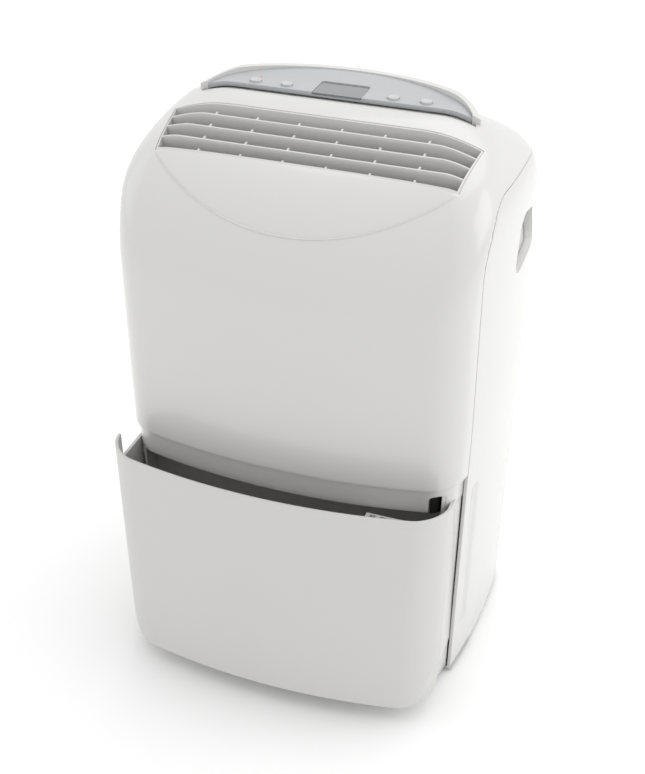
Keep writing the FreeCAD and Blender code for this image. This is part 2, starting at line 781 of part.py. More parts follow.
def tank_box():
    """The open water container behind the panel, with two tall side flanges."""
    floor = BOX_LIFT
    wall = BOX_WALL
    outer_zone = rounded_foot(BOX_HALF, floor, BOX_TOP_Z, BOX_CORNER_R, BOX_BACK_Y)
    corner = BOX_CORNER_R - wall
    inner_zone = rounded_foot(BOX_HALF - wall, floor + wall, FAR, corner, BOX_BACK_Y - wall)
    outer = casing_solid(BOX_SKIN)
    inner = casing_solid(BOX_SKIN + wall).common(inner_zone)
    body = outer.common(outer_zone)
    for side in (-1, 1):
        edge = side * BOX_HALF
        inside = side * (BOX_HALF - FLANGE_T)
        foot = floor + BOX_CORNER_R
        flange = box(min(edge, inside), -FAR, foot, max(edge, inside), BOX_BACK_Y, FLANGE_TOP_Z)
        body = body.fuse(outer.common(flange))
    body = body.cut(inner.cut(box(-FAR, -FAR, BOX_TOP_Z, FAR, FAR, FAR)))
    body = body.cut(lever_way())
    return body.removeSplitter().translated(PULL)


def lever_way():
    """The space the lever needs in the container's back wall as the tank slides out."""
    low = LIP_Z - NOTCH_R - LEVER_WAY
    start = NOTCH_X - LEVER_WAY
    end = NOTCH_X + NOTCH_W + LEVER_WAY
    return box(start, BOX_BACK_Y - BOX_CORNER_R, low, end, FAR, FAR)


def cage_y():
    """The back of the float cage at rest, just behind the tank's bowed front wall."""
    reach = FRONT_BOW_R - BOX_SKIN - BOX_WALL
    edge = CAGE_X + CAGE_W / 2
    wall_y = FRONT_Y + FRONT_BOW_R - math.sqrt(reach ** 2 - edge ** 2)
    return wall_y + FLOAT_GAP + CAGE_D - TANK_PULL


def float_cage():
    """A comb-sided guard for the float, hung from the tank's rim by its top plate."""
    back = cage_y()
    front = back - CAGE_D
    x0 = CAGE_X - CAGE_W / 2
    x1 = CAGE_X + CAGE_W / 2
    low = BOX_TOP_Z - CAGE_H
    cage = box(x0, front, low, x1, back, BOX_TOP_Z)
    wall = CAGE_WALL
    cage = cage.cut(box(x0 + wall, front + wall, low + wall, x1 - wall, back - wall, BOX_TOP_Z - wall))
    margin = FLOAT_GAP + wall
    edge = 2 * margin
    cage = cage.cut(box(x0 + edge, front + edge, low, x1 - edge, back - edge, low + wall))
    pitch = (CAGE_W - 2 * wall) / CAGE_SLOTS
    for slot in range(CAGE_SLOTS):
        x = x0 + wall + (slot + 0.5) * pitch
        half = CAGE_SLOT_W / 2
        cage = cage.cut(box(x - half, front - wall, low + 2 * wall, x + half, back - wall, BOX_TOP_Z))
    return cage


def float_block():
    """The foam float, with a pocket for its magnet."""
    back = cage_y() - CAGE_WALL - FLOAT_GAP
    front = back - CAGE_D + 2 * (CAGE_WALL + FLOAT_GAP)
    half = CAGE_W / 2 - CAGE_WALL - FLOAT_GAP
    low = BOX_TOP_Z - CAGE_H + CAGE_WALL + PART_GAP
    block = box(CAGE_X - half, front, low, CAGE_X + half, back, low + FLOAT_H)
    top = low + FLOAT_H
    middle = (front + back) / 2
    pocket = cylinder(MAGNET_R, V(CAGE_X, middle, top - MAGNET_H), V(CAGE_X, middle, top))
    return block.cut(pocket)


def float_magnet():
    """The disc magnet pressed into the float's pocket."""
    low = BOX_TOP_Z - CAGE_H + CAGE_WALL + PART_GAP + FLOAT_H - MAGNET_H
    middle = cage_y() - CAGE_D / 2
    return cylinder(MAGNET_R, V(CAGE_X, middle, low), V(CAGE_X, middle, low + MAGNET_H))


def lever_pin_place():
    """Centre of the switch lever's pin, behind the top of the lip."""
    corner_x = NOTCH_X + NOTCH_W / 2
    reach = FRONT_BOW_R - LIP_INSET - WALL
    y = FRONT_Y + FRONT_BOW_R - math.sqrt(reach ** 2 - corner_x ** 2)
    return V(corner_x, y + FRONT_CORNER_R / 2, LIP_Z + NOTCH_H + LEVER_TOP - LEVER_PIN_R)


def switch_lever():
    """The black lever that the closing tank presses, filling the right notch."""
    pin = lever_pin_place()
    x0 = NOTCH_X + LEVER_GAP
    x1 = NOTCH_X + NOTCH_W - LEVER_GAP
    finger = box(x0, -FAR, LIP_Z - NOTCH_R, x1, pin.y, LIP_Z + NOTCH_H - LEVER_GAP)
    finger = finger.common(casing_solid(LIP_INSET + WALL + LEVER_GAP))
    finger = finger.cut(box(-FAR, pin.y - LEVER_T, BELOW, FAR, FAR, LIP_Z + NOTCH_R))
    boss = cylinder(2 * LEVER_PIN_R, V(x0, pin.y, pin.z), V(x1, pin.y, pin.z))
    web = box(x0, pin.y - LEVER_T, LIP_Z + NOTCH_H - 2 * LEVER_PIN_R, x1, pin.y, pin.z)
    bore = cylinder(LEVER_PIN_R + PIN_FIT, V(x0, pin.y, pin.z), V(x1, pin.y, pin.z))
    return join(finger, boss, web).cut(bore)


def lever_pin():
    """The steel pin that the lever turns on, held in the bracket's two ears."""
    pin = lever_pin_place()
    reach = NOTCH_W / 2 + LEVER_T
    return cylinder(LEVER_PIN_R, V(pin.x - reach, pin.y, pin.z), V(pin.x + reach, pin.y, pin.z))


def lever_bracket():
    """Two ears that hang from the deck and hold the lever's pin."""
    pin = lever_pin_place()
    half = NOTCH_W / 2
    reach = half + LEVER_T
    lug = 2 * LEVER_PIN_R
    back = pin.y + 3 * LEVER_T
    ears = []
    for start in (pin.x - reach, pin.x + half):
        ears.append(box(start, pin.y - lug, pin.z - lug, start + LEVER_T, back, DECK_Z))
    bridge = box(pin.x - reach, back - LEVER_T, DECK_Z - LEVER_T, pin.x + reach, back, DECK_Z)
    frame = join(bridge, *ears)
    return frame.cut(cylinder(LEVER_PIN_R, V(pin.x - reach, pin.y, pin.z), V(pin.x + reach, pin.y, pin.z)))


def tank_sensor():
    """The small switch behind the lever that tells the board the tank is home."""
    pin = lever_pin_place()
    front = pin.y + 3 * LEVER_T
    half = SENSOR_W / 2
    low = pin.z - 2 * LEVER_PIN_R - SENSOR_H
    high = DECK_Z - LEVER_T - PART_GAP
    return box(pin.x - half, front, low, pin.x + half, front + LEVER_T, high)


def level_sensor():
    """The reed switch on the bulkhead that feels the float's magnet."""
    half = SENSOR_W / 2
    top = BOX_TOP_Z
    front = BULKHEAD_Y - BULKHEAD_GAP / 2
    return box(CAGE_X - half, front, top - 2 * SENSOR_H, CAGE_X + half, BULKHEAD_Y, top)


def base_tray():
    """The floor plate with two rails that carry the tank and a flange for the back screws."""
    front = SEAM_Y + BASE_GAP
    inside = casing_solid(WALL + BASE_GAP)
    plate = inside.common(box(-FAR, front, FOOT_H, FAR, FAR, BASE_Z))
    ahead = box(-FAR, -FAR, FOOT_H, FAR, front + PLINTH_INSET, PANEL_LOW_Z - PLINTH_GAP)
    plinth = skin(PLINTH_INSET, PLINTH_INSET + BASE_T).common(ahead)
    apron = casing_solid(PLINTH_INSET).common(box(-FAR, -FAR, FOOT_H, FAR, front, BASE_Z))
    rail_back = BULKHEAD_Y - BASE_GAP
    rails = []
    for x in (-RAIL_X, RAIL_X):
        rail = box(x - RAIL_W / 2, -FAR, FOOT_H, x + RAIL_W / 2, rail_back, BOX_LIFT - RAIL_GAP)
        rails.append(rail.common(casing_solid(PLINTH_INSET)))
    sill = skin(WALL + BASE_GAP, 2 * WALL + BASE_GAP)
    top = SCREW_Z + SCREW_BOSS
    sill = sill.common(box(-GLAND_X + RAIL_W, 0, FOOT_H, GLAND_X - 2 * RAIL_W, FAR, top))
    tray = join(plate, apron, plinth, sill, *rails)
    for x in (-SCREW_X, 0, SCREW_X):
        tray = tray.cut(rear_hole(x, SCREW_Z, SCREW_R))
    for place in foot_places():
        hole = cylinder(RUBBER_FOOT_GRIP, place, place + V(0, 0, BASE_Z))
        tray = tray.cut(hole)
    return tray


def foot_places():
    """Ground points under the four feet."""
    x = HALF - FOOT_INSET_X
    front = FRONT_Y + FOOT_INSET_Y
    back = REAR_Y - FOOT_INSET_Y
    return [V(-x, front, 0), V(x, front, 0), V(-x, back, 0), V(x, back, 0)]


def rubber_feet():
    """Four rubber feet with a neck through the floor plate and a head above it."""
    feet = []
    for place in foot_places():
        pad = cylinder(RUBBER_FOOT_R, place, place + V(0, 0, FOOT_H))
        top = V(0, 0, BASE_Z + BASE_T / 2)
        neck = cylinder(RUBBER_FOOT_GRIP, place, place + top)
        head = cylinder(RUBBER_FOOT_GRIP + RUBBER_FOOT_LIP, place + V(0, 0, BASE_Z), place + top)
        feet.append(join(pad, neck, head))
    return Part.makeCompound(feet)


def inner_chassis():
    """The bulkhead behind the tank and the deck over it, one moulding."""
    half = HALF - CHASSIS_SIDE_GAP
    inside = casing_solid(LIP_INSET + WALL + 2 * BASE_GAP)
    bulkhead = inside.common(box(-half, BULKHEAD_Y, BASE_Z, half, BULKHEAD_BACK_Y, DECK_TOP_Z))
    deck = inside.common(box(-half, -FAR, DECK_Z, half, BULKHEAD_BACK_Y, DECK_TOP_Z))
    chassis = join(bulkhead, deck)
    spout = V(0, spout_y(), 0)
    return chassis.cut(cylinder(SPOUT_R + 2 * BASE_GAP, spout, spout + V(0, 0, DECK_TOP_Z)))


def spout_y():
    """Where condensate falls through the deck into the tank."""
    return BULKHEAD_Y - 2 * SPOUT_R - BASE_GAP


def drip_tray():
    """The tray under the coils, with a channel to the spout over the tank."""
    half = COIL_HALF + RAIL_W
    front = CONDENSER_Y - BASE_GAP
    back = COIL_BACK_Y + 2 * BASE_GAP
    top = TRAY_Z + TRAY_H
    pan = box(-half, front, TRAY_Z, half, back, top)
    wall = TRAY_T
    hollow = box(-half + wall, front + wall, TRAY_Z + wall, half - wall, back - wall, top)
    channel_half = SPOUT_R + wall
    channel_top = TRAY_Z + SCROLL_LIFT - DECK_GAP - BASE_GAP
    lip = box(-channel_half, spout_y() - channel_half, TRAY_Z, channel_half, front + wall, channel_top)
    floor_z = TRAY_Z + wall
    gutter = box(-SPOUT_R, spout_y() - SPOUT_R, floor_z, SPOUT_R, front + 2 * wall, channel_top)
    centre = V(0, spout_y(), TRAY_Z)
    nozzle = cylinder(SPOUT_R, centre - V(0, 0, SPOUT_L), centre + V(0, 0, wall))
    bore = cylinder(SPOUT_BORE_R, centre - V(0, 0, SPOUT_L), centre + V(0, 0, TRAY_H))
    tray = join(pan, lip, nozzle).cut([hollow, gutter, bore])
    port = cylinder(SPIGOT_BORE_R, V(-SPIGOT_X, back - 2 * wall, SPIGOT_Z), V(-SPIGOT_X, back, SPIGOT_Z))
    return tray.cut(port)


def drain_spigot():
    """The hose spigot behind the tray, for draining without the tank."""
    start = V(-SPIGOT_X, COIL_BACK_Y + 2 * BASE_GAP, SPIGOT_Z)
    end = V(-SPIGOT_X, spigot_end_y(), SPIGOT_Z)
    body = tube(SPIGOT_R, SPIGOT_BORE_R, start, end)
    collar = tube(SPIGOT_R + SPIGOT_COLLAR, SPIGOT_R, start, start + V(0, TRAY_T, 0))
    return join(body, collar)


def spigot_end_y():
    """How far back the spigot reaches, just inside the casing's bowed back."""
    return REAR_Y - REAR_BOW_R + math.sqrt(REAR_BOW_R ** 2 - SPIGOT_X ** 2) - PLUG_HEAD_T


def drain_plug():
    """The rubber plug in the spigot's mouth."""
    mouth = V(-SPIGOT_X, spigot_end_y(), SPIGOT_Z)
    stem = cylinder(SPIGOT_BORE_R - PLUG_FIT, mouth - V(0, PLUG_L, 0), mouth + V(0, PLUG_HEAD_T, 0))
    head = cylinder(PLUG_HEAD_R, mouth, mouth + V(0, PLUG_HEAD_T, 0))
    return join(stem, head)


def coil(front, depth):
    """A finned coil: the fin pack, an end plate on each side and the tubes' return bends."""
    half = COIL_HALF
    top = COIL_Z + COIL_H
    pack = box(-half, front, COIL_Z, half, front + depth, top)
    pieces = []
    pitch = COIL_H / COIL_ROWS
    middle = front + depth / 2
    for side in (-1, 1):
        x0 = side * half
        x1 = side * (half + COIL_PLATE_T)
        pieces.append(box(min(x0, x1), front, COIL_Z, max(x0, x1), front + depth, top))
        for row in range(0, COIL_ROWS, 2):
            z0 = COIL_Z + (row + 0.5) * pitch
            end = side * (half + COIL_PLATE_T + COIL_TUBE_R)
            for z in (z0, z0 + pitch):
                pieces.append(cylinder(COIL_TUBE_R, V(x0, middle, z), V(end, middle, z)))
            foot = V(end, middle, z0 - COIL_LINK_R - FRAME_GAP)
            rise = V(0, 0, pitch + 2 * COIL_LINK_R + 2 * FRAME_GAP)
            pieces.append(cylinder(COIL_LINK_R, foot, foot + rise))
    return join(pack, *pieces)


def coil_frame():
    """The rectangular duct that holds both coils over the tray."""
    wall = FRAME_T
    half = COIL_HALF + COIL_PLATE_T + 2 * COIL_TUBE_R + FRAME_GAP
    low = COIL_Z - FRAME_GAP
    high = COIL_Z + COIL_H + FRAME_GAP
    y0 = SCROLL_BACK_Y + SHROUD_T
    y1 = COIL_BACK_Y + FRAME_GAP
    outer = box(-half - wall, y0, low - wall, half + wall, y1, high + wall)
    inner = box(-half, y0, low, half, y1, high)
    drain = box(-COIL_HALF, CONDENSER_Y, low - wall, COIL_HALF, y1 - FRAME_GAP, low)
    return outer.cut([inner, drain])


def fan_shroud():
    """The plate between the coils and the fan, with the round inlet."""
    half = COIL_HALF + COIL_PLATE_T + 2 * COIL_TUBE_R + FRAME_GAP + FRAME_T
    low = COIL_Z - FRAME_GAP - FRAME_T
    high = COIL_Z + COIL_H + FRAME_GAP + FRAME_T
    plate = box(-half, SCROLL_BACK_Y, low, half, SCROLL_BACK_Y + SHROUD_T, high)
    return plate.cut(cylinder(INLET_R, V(0, SCROLL_BACK_Y, FAN_Z), V(0, SCROLL_BACK_Y + SHROUD_T, FAN_Z)))


def scroll_space(inset):
    """The fan housing's volume: a drum below and a duct that flares up to the outlet."""
    y0 = SCROLL_FRONT_Y + inset
    y1 = SCROLL_BACK_Y - inset
    drum = cylinder(SCROLL_R - inset, V(0, y0, FAN_Z), V(0, y1, FAN_Z))
    radius = SCROLL_R - inset
    flare = SCROLL_FLARE - inset
    duct = outline([
        (V(-radius, y0, FAN_Z), 0),
        (V(radius, y0, FAN_Z), 0),
        (V(flare, y0, HEIGHT), 0),
        (V(-flare, y0, HEIGHT), 0),
    ])
    return drum.fuse(Part.Face(duct).extrude(V(0, y1 - y0, 0)))


def fan_scroll():
    """The fan housing with its open top, round inlet behind and motor opening in front."""
    roof = casing_solid(BLADE_H + MOUTH_GAP)
    housing = scroll_space(0).common(roof).cut(scroll_space(SCROLL_T))
    inlet = cylinder(INLET_R, V(0, 0, FAN_Z), V(0, SCROLL_BACK_Y, FAN_Z))
    front = cylinder(BOSS_R + SHAFT_GAP, V(0, SCROLL_FRONT_Y, FAN_Z), V(0, SCROLL_FRONT_Y + SCROLL_T, FAN_Z))
    feet = []
    for side in (-1, 1):
        x = side * SCROLL_R / 2
        y0 = SCROLL_FRONT_Y + SCROLL_T
        y1 = y0 + RAIL_W
        leg = box(x - RAIL_W, y0, DECK_TOP_Z, x + RAIL_W, y1, FAN_Z - SCROLL_R / 2)
        feet.append(leg.cut(cylinder(SCROLL_R - SCROLL_T, V(0, y0, FAN_Z), V(0, y1, FAN_Z))))
    return join(housing.cut([inlet, front]), *feet)


def fan_wheel():
    """The blower wheel: hub, back plate, blades and front ring, bored for the shaft."""
    y0 = SCROLL_FRONT_Y + SCROLL_T + WHEEL_GAP
    y1 = SCROLL_BACK_Y - SCROLL_T - WHEEL_GAP
    plate = cylinder(WHEEL_R, V(0, y0, FAN_Z), V(0, y0 + WHEEL_PLATE_T, FAN_Z))
    ring = tube(WHEEL_R, WHEEL_R - WHEEL_BLADE_D / 2, V(0, y1 - WHEEL_PLATE_T, FAN_Z), V(0, y1, FAN_Z))
    hub = cylinder(HUB_R, V(0, y0, FAN_Z), V(0, y0 + HUB_L, FAN_Z))
    pieces = [ring, hub]
    for index in range(WHEEL_BLADES):
        half = WHEEL_BLADE_T / 2
        blade = box(-half, y0, FAN_Z + WHEEL_R - WHEEL_BLADE_D, half, y1, FAN_Z + WHEEL_R - half)
        blade.rotate(V(0, 0, FAN_Z + WHEEL_R - WHEEL_BLADE_D / 2), V(0, 1, 0), WHEEL_BLADE_ANGLE)
        blade.rotate(V(0, 0, FAN_Z), V(0, 1, 0), 360 / WHEEL_BLADES * index)
        pieces.append(blade)
    limit = cylinder(WHEEL_R, V(0, y0, FAN_Z), V(0, y1, FAN_Z))
    wheel = join(plate, *pieces).common(limit)
    return wheel.cut(cylinder(SHAFT_R, V(0, y0, FAN_Z), V(0, y0 + HUB_L, FAN_Z)))


def motor_shaft():
    """The shaft that runs in the motor and carries the wheel."""
    y1 = SCROLL_FRONT_Y + SCROLL_T + WHEEL_GAP + HUB_L
    return cylinder(SHAFT_R, V(0, MOTOR_Y + SHAFT_GAP, FAN_Z), V(0, y1, FAN_Z))


def fan_motor():
    """The can motor, blind at the front, bored for its shaft, with a bearing boss at the back."""
    y0 = MOTOR_Y
    y1 = SCROLL_FRONT_Y - BRACKET_T
    can = cylinder(MOTOR_R, V(0, y0, FAN_Z), V(0, y1, FAN_Z))
    front_rim = [edge for edge in can.Edges if edge.BoundBox.YMax < y0 + BRACKET_T]
    can = can.makeFillet(2 * BRACKET_T, front_rim)
    boss = cylinder(BOSS_R, V(0, y0 + SHAFT_GAP, FAN_Z), V(0, SCROLL_FRONT_Y + SCROLL_T, FAN_Z))
    body = join(can, boss)
    start = V(0, y0 + SHAFT_GAP - PART_GAP, FAN_Z)
    return body.cut(cylinder(SHAFT_R + SHAFT_FIT, start, V(0, SCROLL_BACK_Y, FAN_Z)))


def motor_bracket():
    """The round plate that bolts the motor to the fan housing."""
    y0 = SCROLL_FRONT_Y - BRACKET_T
    return tube(BRACKET_R, BOSS_R + PART_GAP, V(0, y0, FAN_Z), V(0, SCROLL_FRONT_Y, FAN_Z))


def compressor_place(z):
    """A point on the compressor's upright axis."""
    return V(COMPRESSOR_X, COMPRESSOR_Y, z)


def compressor():
    """The welded can with rounded ends and a mounting plate under it."""
    low = MOUNT_TOP_Z
    can = cylinder(COMPRESSOR_R, compressor_place(low), compressor_place(low + COMPRESSOR_H))
    rims = [edge for edge in can.Edges if edge.Curve.TypeId == "Part::GeomCircle"]
    can = can.makeFillet(COMPRESSOR_EDGE_R, rims)
    arms = []
    for place in mount_places():
        side = place - compressor_place(place.z)
        length = side.Length + MOUNT_R
        arm = box(0, -MOUNT_R, low, length, MOUNT_R, low + MOUNT_PLATE_T)
        arm.rotate(V(0, 0, 0), V(0, 0, 1), math.degrees(math.atan2(side.y, side.x)))
        arms.append(arm.translated(compressor_place(0)))
    top = compressor_place(low + MOUNT_PLATE_T)
    plate = cylinder(COMPRESSOR_R - COMPRESSOR_EDGE_R, compressor_place(low), top)
    return join(can, plate, *arms)


def mount_places():
    """Points on the floor plate under the compressor's three mounts."""
    places = []
    for angle in (90, 210, 330):
        turn = math.radians(angle)
        offset = V(math.cos(turn), math.sin(turn), 0) * MOUNT_REACH
        places.append(compressor_place(BASE_Z) + offset)
    return places


def compressor_mounts():
    """Three waisted rubber mounts between the floor plate and the compressor."""
    mounts = []
    for place in mount_places():
        half = MOUNT_H / 2
        lower = Part.makeCone(MOUNT_R, MOUNT_WAIST_R, half, place)
        upper = Part.makeCone(MOUNT_WAIST_R, MOUNT_R, half, place + V(0, 0, half))
        mounts.append(join(lower, upper))
    return Part.makeCompound(mounts)


def accumulator():
    """The slim suction vessel strapped beside the compressor."""
    x = COMPRESSOR_X - COMPRESSOR_R - ACCUMULATOR_GAP - ACCUMULATOR_R
    low = MOUNT_TOP_Z + MOUNT_H
    can = cylinder(ACCUMULATOR_R, V(x, COMPRESSOR_Y, low), V(x, COMPRESSOR_Y, low + ACCUMULATOR_H))
    rims = [edge for edge in can.Edges if edge.Curve.TypeId == "Part::GeomCircle"]
    can = can.makeFillet(ACCUMULATOR_R / 2, rims)
    y = COMPRESSOR_Y
    z = low + ACCUMULATOR_H / 4
    strap = cylinder(PIPE_R, V(x, y, z), V(COMPRESSOR_X - COMPRESSOR_R, y, z))
    return join(can, strap.cut(cylinder(COMPRESSOR_R, compressor_place(0), compressor_place(HEIGHT))))


def refrigerant_pipes():
    """The discharge pipe up to the condenser and the suction pipe down from the evaporator."""
    top = MOUNT_TOP_Z + COMPRESSOR_H
    under = (top + DECK_TOP_Z) / 2
    side = COIL_HALF + COIL_PLATE_T + 2 * COIL_TUBE_R + 2 * FRAME_GAP + FRAME_T + PIPE_R
    rise_y = CONDENSER_Y + CONDENSER_T / 2
    entry = COIL_Z + COIL_H / 2
    reach = COIL_HALF + COIL_PLATE_T + 2 * COIL_TUBE_R + FRAME_GAP + FRAME_T
    discharge = pipe([
        V(COMPRESSOR_X, COMPRESSOR_Y, top),
        V(COMPRESSOR_X, COMPRESSOR_Y, under),
        V(side, rise_y, under),
        V(side, rise_y, entry),
    ], DISCHARGE_BEND_R, PIPE_R)
    x = COMPRESSOR_X - COMPRESSOR_R - ACCUMULATOR_GAP - ACCUMULATOR_R
    vessel_top = MOUNT_TOP_Z + MOUNT_H + ACCUMULATOR_H
    back_y = EVAPORATOR_Y + EVAPORATOR_T / 2
    suction = pipe([
        V(x, COMPRESSOR_Y, vessel_top),
        V(x, COMPRESSOR_Y, under),
        V(-side, back_y, under),
        V(-side, back_y, entry),
    ], PIPE_BEND_R, PIPE_R)
    stubs = []
    for sign, y in ((1, rise_y), (-1, back_y)):
        stubs.append(cylinder(PIPE_R, V(sign * reach, y, entry), V(sign * side, y, entry)))
    return Part.makeCompound([join(discharge, stubs[0]), join(suction, stubs[1])])


def capillary_tube():
    """The thin copper coil that meters the refrigerant."""
    centre = V(-COMPRESSOR_X, COMPRESSOR_Y, CAPILLARY_Z)
    points = []
    for step in range(CAPILLARY_STEPS * CAPILLARY_TURNS + 1):
        turn = 2 * math.pi * step / CAPILLARY_STEPS
        around = V(math.cos(turn), math.sin(turn), 0) * CAPILLARY_COIL_R
        points.append(centre + around + V(0, 0, CAPILLARY_PITCH * step / CAPILLARY_STEPS))
    line = Part.BSplineCurve()
    line.interpolate(points)
    start = line.tangent(line.FirstParameter)[0]
    section = Part.Wire(Part.makeCircle(CAPILLARY_R, points[0], start))
    return Part.Wire(line.toShape()).makePipeShell([section], True, True)


def capillary_clip():
    """The post on the floor plate whose drum head the capillary coil is wound on."""
    base = V(-COMPRESSOR_X, COMPRESSOR_Y, BASE_Z)
    drum = V(-COMPRESSOR_X, COMPRESSOR_Y, CAPILLARY_Z - CAPILLARY_PITCH)
    top = V(-COMPRESSOR_X, COMPRESSOR_Y, CAPILLARY_Z + CAPILLARY_PITCH * (CAPILLARY_TURNS + 1))
    radius = CAPILLARY_COIL_R - CAPILLARY_R - PIN_FIT
    foot = cylinder(radius, base, base + V(0, 0, BASE_T))
    return join(cylinder(PIPE_R, base, top), cylinder(radius, drum, top), foot)


def run_capacitor():
    """The compressor's capacitor, a can standing in a ring on the floor plate."""
    x = -COMPRESSOR_X + CAPACITOR_X
    y = COMPRESSOR_Y + CAPACITOR_R
    place = V(x - 2 * CAPACITOR_R, y, BASE_Z)
    can = cylinder(CAPACITOR_R, place, place + V(0, 0, CAPACITOR_H))
    top_rim = [edge for edge in can.Edges if edge.BoundBox.ZMin > BASE_Z + CAPACITOR_H - BRACKET_T]
    return can.makeFillet(BRACKET_T, top_rim)


def intake_grille():
    """The slatted back grille, a curved panel that closes the intake."""
    half = OPENING_HALF - PART_GAP
    low = OPENING_LOW + PART_GAP
    high = OPENING_TOP - PART_GAP
    panel = skin(0, WALL).common(box(-half, COIL_BACK_Y, low, half, FAR / 2, high))
    bay = (2 * half - SLAT_POST) / SLAT_BAYS
    rows = int((high - low - 2 * SLAT_POST) / SLAT_PITCH)
    first = (low + high - rows * SLAT_PITCH + SLAT_H) / 2
    cuts = []
    for row in range(rows):
        z = first + row * SLAT_PITCH
        for column in range(SLAT_BAYS):
            x = -half + SLAT_POST + column * bay
            cuts.append(box(x, COIL_BACK_Y, z, x + bay - SLAT_POST, FAR / 2, z + SLAT_PITCH - SLAT_H))
    return panel.cut(cuts)


def filter_frame():
    """The filter's border and bars, clipped behind the intake grille."""
    half = OPENING_HALF - PART_GAP
    y1 = FILTER_BACK_Y
    y0 = y1 - FILTER_T
    low = OPENING_LOW + PART_GAP
    high = OPENING_TOP - PART_GAP
    frame = box(-half, y0, low, half, y1, high)
    edge = FILTER_BORDER
    frame = frame.cut(box(-half + edge, y0, low + edge, half - edge, y1, high - edge))
    bars = []
    for index in (-1, 0, 1):
        x = index * half / 2
        bars.append(box(x - FILTER_BAR / 2, y0, low, x + FILTER_BAR / 2, y0 + FILTER_BAR, high))
    middle = (low + high - FILTER_BAR) / 2
    bars.append(box(-half, y0, middle, half, y0 + FILTER_BAR, middle + FILTER_BAR))
    for x0, x1 in ((-half, -half + edge), (half - edge, half)):
        bars.append(box(x0, y1, low + edge, x1, y1 + FRAME_GAP, low + 2 * edge))
    return join(frame, *bars)


def filter_mesh():
    """The woven dust mesh stretched over the filter's bars."""
    half = OPENING_HALF - PART_GAP - FILTER_BORDER
    y0 = FILTER_BACK_Y - FILTER_T + FILTER_BAR
    low = OPENING_LOW + PART_GAP + FILTER_BORDER
    high = OPENING_TOP - PART_GAP - FILTER_BORDER
    return box(-half, y0, low, half, y0 + MESH_T, high)


def humidity_sensor():
    """The humidity sensor clipped to the coil frame's side, in the incoming air."""
    half = COIL_HALF + COIL_PLATE_T + 2 * COIL_TUBE_R + FRAME_GAP + FRAME_T
    z = COIL_Z + COIL_H - 2 * SENSOR_W
    return box(half, COIL_BACK_Y - SENSOR_W, z, half + SENSOR_H, COIL_BACK_Y, z + 2 * SENSOR_W)


def power_gland():
    """The grommet in the back that the mains lead passes through."""
    bow_y = REAR_Y - REAR_BOW_R + math.sqrt(REAR_BOW_R ** 2 - GLAND_X ** 2)
    inside = V(GLAND_X, bow_y - GLAND_L, GLAND_Z)
    mouth = V(GLAND_X, REAR_Y, GLAND_Z)
    neck = cylinder(GLAND_R, inside, mouth)
    flange = cylinder(GLAND_FLANGE_R, inside, mouth).common(skin(WALL + PIN_FIT, WALL + GLAND_FLANGE_T))
    neck = neck.common(casing_solid(0))
    bore = cylinder(GLAND_BORE_R, inside, mouth)
    return join(neck, flange).cut(bore)


def screw_seat(x):
    """Where a back screw's head rests, at the bottom of its counterbore."""
    bow_y = REAR_Y - REAR_BOW_R + math.sqrt(REAR_BOW_R ** 2 - x ** 2)
    return V(x, bow_y - SCREW_SINK, SCREW_Z)


def casing_screws():
    """The screws that hold the back of the casing to the floor plate."""
    screws = []
    for x in (-SCREW_X, 0, SCREW_X):
        seat = screw_seat(x)
        shank = cylinder(SCREW_R, seat - V(0, SCREW_L, 0), seat)
        head = cylinder(SCREW_HEAD_R, seat, seat + V(0, SCREW_HEAD_H, 0))
        low = SCREW_Z - SCREW_SLOT_W / 2
        floor_y = seat.y + SCREW_HEAD_H / 2
        slot = box(x - SCREW_HEAD_R, floor_y, low, x + SCREW_HEAD_R, REAR_Y, low + SCREW_SLOT_W)
        screws.append(join(shank, head).cut(slot))
    return Part.makeCompound(screws)


def save(name, shape):
    """One STEP file for one node."""
    shape.exportStep(os.path.join("parts", name + ".step"))


def main():
    os.makedirs("parts", exist_ok=True)
    save("front_cover", front_cover())
    save("outlet_grille", outlet_grille())
    save("rear_casing", rear_casing())
    right_cup = handle_cup()
    save("handle_cup_right", right_cup)
    save("handle_cup_left", right_cup.mirror(V(0, 0, 0), V(1, 0, 0)))
    save("top_housing", top_housing())
    save("control_panel", control_panel())
    save("display_window", display_window())
    save("display_module", display_module())
    save("control_board", control_board())
    save("push_switches", push_switches())
    save("status_lamp", status_lamp())
    for name, x in zip(BUTTON_NAMES, BUTTON_XS):
        save(name, panel_button(x))
    save("tank_front", tank_front())
    save("tank_box", tank_box())
    save("float_cage", float_cage())
    save("float_block", float_block())
    save("float_magnet", float_magnet())
    save("level_sensor", level_sensor())
    save("switch_lever", switch_lever())
    save("lever_pin", lever_pin())
    save("lever_bracket", lever_bracket())
    save("tank_sensor", tank_sensor())
    save("base_tray", base_tray())
    save("rubber_feet", rubber_feet())
    save("inner_chassis", inner_chassis())
    save("drip_tray", drip_tray())
    save("drain_spigot", drain_spigot())
    save("drain_plug", drain_plug())
    save("condenser", coil(CONDENSER_Y, CONDENSER_T))
    save("evaporator", coil(EVAPORATOR_Y, EVAPORATOR_T))
    save("coil_frame", coil_frame())
    save("fan_shroud", fan_shroud())
    save("fan_scroll", fan_scroll())
    save("fan_wheel", fan_wheel())
    save("motor_shaft", motor_shaft())
    save("fan_motor", fan_motor())
    save("motor_bracket", motor_bracket())
    save("compressor", compressor())
    save("compressor_mounts", compressor_mounts())
    save("accumulator", accumulator())
    save("refrigerant_pipes", refrigerant_pipes())
    save("capillary_tube", capillary_tube())
    save("capillary_clip", capillary_clip())
    save("run_capacitor", run_capacitor())
    save("intake_grille", intake_grille())
    save("filter_frame", filter_frame())
    save("filter_mesh", filter_mesh())
    save("humidity_sensor", humidity_sensor())
    save("power_gland", power_gland())
    save("casing_screws", casing_screws())


main()
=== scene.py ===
import json
import math

